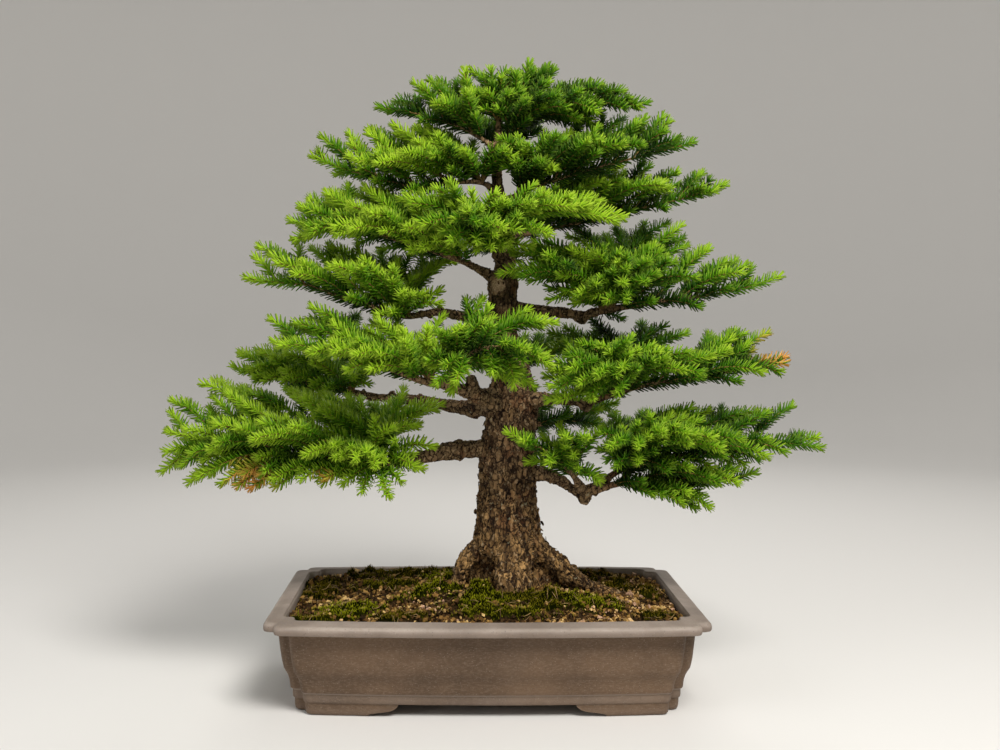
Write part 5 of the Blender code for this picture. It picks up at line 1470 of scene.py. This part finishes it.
def needleFinish():
    look = needleLook
    finish = Finish("needles", {"Specular IOR Level": 0.1})
    young, tone, dry, along = (finish.value(name) for name in ("young", "tone", "dry", "along"))
    patch = finish.cloud(26.0, 3.0)
    age = (young + 0.35 * (patch - 0.5) + 0.25 * (tone - 0.5)).clamp()
    colour = finish.ramp(age, look["stops"])
    # the needle ends are paler: their own paler tips, with painted highlight
    colour = finish.mix(along.between(0.4, 1.0) * (0.04 + 0.34 * age), colour, look["paleEndAndHighlight"])
    under = (0 - finish.facing()).between(0.15, 0.9)
    colour = finish.mix(under * 0.14, colour, look["underside"])
    colour = finish.mix(dry * tone.between(0.12, 0.3), colour, finish.mix(tone, *look["dried"]))
    finish.set(colour=colour, roughness=0.40 + 0.18 * tone)
    return finish


def needlesOn(shape, path, first, radii, rng, young, dryness, density=1.0, tipped=True):
    look = needleLook
    span = path.length - first
    count = max(6, int(span * look["perMillimetre"] * density))
    s = first + (np.arange(count) + rng.uniform(0, 1, count)) * span / count
    lean = np.ones(count)
    if tipped:
        closing = np.clip((s - path.length + look["closeIn"]) / look["closeIn"], 0, 1)
        lean = 1 - look["closeTo"] * closing**1.5
        s = np.concatenate([s, np.full(look["rosette"], path.length - 0.6)])
        lean = np.concatenate([lean, rng.uniform(0.12, 0.75, look["rosette"])])
        count = len(s)
    stations = np.linspace(0, path.length, max(3, int(path.length / 5)))
    _, headings, sides, _ = path.frames(stations)
    ahead, side = unitRows(rowsAt(s, stations, headings)), rowsAt(s, stations, sides)
    side = unitRows(side - ahead * np.sum(side * ahead, axis=1, keepdims=True))
    turn = goldenAngle * np.arange(count) + rng.uniform(-0.4, 0.4, count)
    out = np.cos(turn)[:, None] * side + np.sin(turn)[:, None] * np.cross(ahead, side)
    under = np.clip(-out[:, 2], 0, 1)
    out[:, 2] += 0.14
    out = unitRows(out)
    share = s / path.length
    angle = look["footAngle"] + (look["tipAngle"] - look["footAngle"]) * share
    angle = angle + rng.normal(0, look["spread"], count)
    angle = np.radians(angle * (lean * (1 - look["underLean"] * under)))[:, None]
    long = look["length"] * rng.uniform(0.88, 1.08, count) * (0.82 + 0.18 * np.sin(np.pi * share**0.8))
    long = (long * (1 - 0.12 * under))[:, None]
    lifted = zUp * look["lift"] * (0.5 + 0.5 * rng.random(count))[:, None]
    way = unitRows(np.cos(angle) * ahead + np.sin(angle) * out + lifted)
    foot = path.at(s) + out * np.interp(share, (0, 1), radii)[:, None] * 0.6
    tip = foot + way * long
    flat = unitRows(np.cross(ahead, out)) * rng.choice((-1.0, 1.0), count)[:, None]
    upright = np.cross(way, flat)
    size = rng.uniform(0.88, 1.12, count)[:, None]
    atFoot, atTip = upright * look["foot"] * size, upright * look["tip"] * size
    points = np.stack([foot - atFoot, foot + atFoot, foot + flat * look["thick"] * size,
                       tip - atTip - flat * 0.3, tip + atTip - flat * 0.3 - way], axis=1)
    faces = [repeated([(0, 3, 4, 1)], 5, count), repeated([(1, 4, 2), (0, 2, 3), (2, 4, 3)], 5, count)]
    ages = young[0] + (young[1] - young[0]) * share ** look["ageing"] + rng.normal(0, 0.05, count)
    shape.add(points, faces, young=np.repeat(ages, 5), tone=np.repeat(rng.random(count), 5),
              dry=np.repeat(dryness(tip), 5), along=np.tile((0, 0, 0, 1.0, 1.0), count))
    return count


def twigOn(shape, path, radii, sides, thin):
    look = shootLook
    stops = max(3, int(path.length / look["twigStep"]) + 1)
    s = np.linspace(0.0, path.length - 0.5, stops)
    rings = tubeRings(path, s, np.interp(s, (0, path.length), radii), sides)
    bud = path.at(path.length) + path.heading(path.length) * look["bud"]
    last = (stops - 1) * sides + np.arange(sides)
    points = np.vstack([rings.reshape(-1, 3), bud])
    values = np.concatenate([np.repeat(np.interp(s, (0, path.length), thin), sides), [1.0]])
    faces = [ringFaces(stops, sides), fanFaces(last, len(points) - 1)]
    shape.add(points, faces, thin=values, crack=0.1, edge=0.5, plate=0.5)


def sideShoots(path, rng):
    # shoots in the plane of the spray, on both sides of a longer one
    look = shootLook
    made = []
    if path.length < look["sideFrom"]:
        return made
    start, end = look["sideAlong"]
    hand = 1 if rng.random() < 0.5 else -1
    s = start * path.length + rng.uniform(0, 10)
    while s < end * path.length:
        ahead = path.heading(s)
        across = leaning(ahead, rng.uniform(*look["sideTilt"]), hand)
        long = min(look["sideLongest"], max(look["sideShortest"], 0.72 * (path.length - s)))
        long = long * rng.uniform(0.8, 1.12)
        angle = math.radians(look["sideAngle"] * rng.uniform(0.85, 1.15))
        root = path.at(s)
        way = math.cos(angle) * ahead + math.sin(angle) * across
        made.append(bowedPath(root, root + way * long + ahead * 0.1 * long, 0.12 * long, 8))
        hand = -hand
        s += look["sideStep"] * rng.uniform(0.75, 1.2)
    return made


def tufts(limb, path, end, rng):
    # short shoots that stand along the leafy part of the limb itself, to both sides, over it and under it
    look = shootLook
    made = []
    s = limb["bare"] + rng.uniform(4, 10)
    hand = 1 if rng.random() < 0.5 else -1
    while s < end:
        ahead = path.heading(s)
        across = leaning(ahead, rng.uniform(*look["tuftTilt"]), hand)
        long = rng.uniform(*look["tuftLength"])
        root = path.at(s)
        made.append(bowedPath(root, root + (0.66 * ahead + 0.75 * across) * long, 0.1 * long, 7))
        hand = -hand
        s += look["tuftStep"] * rng.uniform(0.8, 1.3)
    return made


def besideTips(limbPath, limb, tip, rng):
    # the tips of up to two shoots beside one that is named, drawn back so that they stay inside the outline
    look = shootLook
    named = shootPath(limbPath, limb, tip)
    made = []
    if named.length < look["besideFrom"]:
        return made
    way = named.heading(named.length * 0.8)
    level = unit(np.cross(way, zUp))
    for hand in (1, -1):
        if rng.random() > look["besideShare"]:
            continue
        target = (np.array(tip[:3], float) + hand * level * rng.uniform(*look["beside"])
                  - way * rng.uniform(*look["drawnBack"]) + zUp * rng.uniform(*look["lower"]))
        made.append((*target, *tip[3:]))
    return made


def clearOfTrunk(path):
    tip = path.at(path.length)
    x, y, radius = trunkAt(tip[2])
    return math.hypot(tip[0] - x, tip[1] - y) > radius + shootLook["trunkGap"]


def addCore(wood, path, limb, end):
    # the limb itself between its needles
    s = np.arange(limb["bare"], end + 4, 5.0)
    core = tubeRings(path, s, limbRadius(limb, path, s), 9)
    lumps = np.array([[noise.noise(Vector(p) / 5.0) for p in ring] for ring in core])
    middle = core.mean(axis=1, keepdims=True)
    core = middle + (core - middle) * (1 + 0.12 * lumps[..., None])
    lumps = lumps.ravel()
    thin = np.repeat(np.interp(s, (limb["bare"], end), (0.4, 0.75)), 9)
    # the dips between the lumps get a crack value, which the bark darkens as painted shade
    addTube(wood, core, crack=np.clip(0.2 - 0.6 * lumps, 0, 1), edge=0.5, plate=0.5 + 0.5 * lumps, thin=thin)


def makeSpray(name, limb, number, needles, bark):
    look = shootLook
    rng = np.random.default_rng(needleLook["seed"] * 1000 + number)
    limbPath = Path(limb["route"])
    leafy = limbPath.length - limb["bare"]
    end = limb["bare"] + treeLook["terminalShare"] * leafy
    green, wood = Shape(("young", "tone", "dry", "along")), Shape(("crack", "edge", "plate", "thin"))
    dried = [(np.array(tip, float), reach) for spray, tip, reach in dryTips if spray == name]

    def dryness(places):
        amount = np.zeros(len(places))
        for tip, reach in dried:
            amount = np.maximum(amount, np.clip(1.6 - np.linalg.norm(places - tip, axis=1) / reach, 0, 1))
        return amount

    def dress(path, first, radii, sides, thin, young):
        # a shoot's twig and needles
        twigOn(wood, path, radii, sides, thin)
        return needlesOn(green, path, first, radii, rng, young, dryness)

    addCore(wood, limbPath, limb, end)
    tipAt = limbPath.length - treeLook["shortOf"]
    leader = Path(limbPath.at(np.linspace(end - treeLook["leaderOverlap"], tipAt, 14)), smooth=False)
    named = [leader] + [shootPath(limbPath, limb, tip) for tip in limb["tips"]]
    near = [spot for tip in limb["tips"] for spot in besideTips(limbPath, limb, tip, rng)]
    beside = [shootPath(limbPath, limb, spot) for spot in near]
    # younger needles and painted light to the left, older ones to the right and towards the crown
    tip = limbPath.at(limbPath.length)
    youngAndLit = 0.075 - 0.135 * np.clip(tip[0] / 300, -1, 1) - 0.19 * np.clip((tip[2] - 620) / 100, 0, 1)
    main, small = look["radii"], look["sideRadii"]
    count = 0
    for path in named + beside:
        if not clearOfTrunk(path):
            continue
        shade = youngAndLit + rng.normal(0, 0.10)
        first = 0.1 * path.length + look["first"]
        count += dress(path, first, main, 4, (0.75, 1.0), (0.27 + shade, 0.90 + shade))
        if path in beside and rng.random() < 0.5:
            continue
        for branch in sideShoots(path, rng):
            if clearOfTrunk(branch):
                count += dress(branch, 2.5, small, 3, (0.85, 1.0), (0.32 + shade, 0.84 + shade))
    for path in tufts(limb, limbPath, end, rng):
        if clearOfTrunk(path):
            count += dress(path, 4.0, small, 3, (0.8, 1.0), (0.16 + youngAndLit, 0.68 + youngAndLit))
    if leafy > look["innerLeast"]:
        start = limb["bare"] + look["innerFrom"] * leafy
        inner = Path(limbPath.at(np.linspace(start, end, 14)), smooth=False)
        thick = limbRadius(limb, limbPath, np.array((start, end)))
        count += needlesOn(green, inner, 0.0, thick, rng, (0.05, 0.25), dryness, needleLook["onLimb"], False)
    makePiece(name + "_needles", green.mesh(name + "_needles"), needles, [name])
    twigs = wood.mesh(name + "_twigs")
    makePiece(name + "_twigs", twigs, bark, [name])
    return count, 5 * count + countTriangles(twigs)


def makeFoliage(bark):
    needles = needleFinish()
    total, faces = 0, 0
    for number, (name, limb) in enumerate(limbs.items()):
        count, triangles = makeSpray(name, limb, number, needles, bark)
        total += count
        faces += triangles
    print("foliage:", total, "needles,", faces, "triangles")


# The drain screens keep their solids

screenLook = dict(colour=(0.02, 0.021, 0.02), nodes=("drain_screen_left", "drain_screen_right"))


def screenFinish():
    finish = Finish("screenMesh", {"Base Color": (*screenLook["colour"], 1.0)})
    fine = finish.cloud(600.0, 3.0)
    finish.set(roughness=0.5 + 0.25 * fine, normal=finish.bump(fine, 0.0002, 0.5))
    return finish


def dressScreens():
    finish = screenFinish()
    for name in screenLook["nodes"]:
        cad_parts[name].material_slots[0].material = finish.material
    print("screens: dressed")


makeCamera()
makeFloor()
makeLights()
print("studio: camera, floor and light")
makePot()
makeSoilBed()
makeGrit()
makeMoss()
makeLitter()
bark = barkFinish()
makeWood(bark)
makeFoliage(bark)
dressScreens()
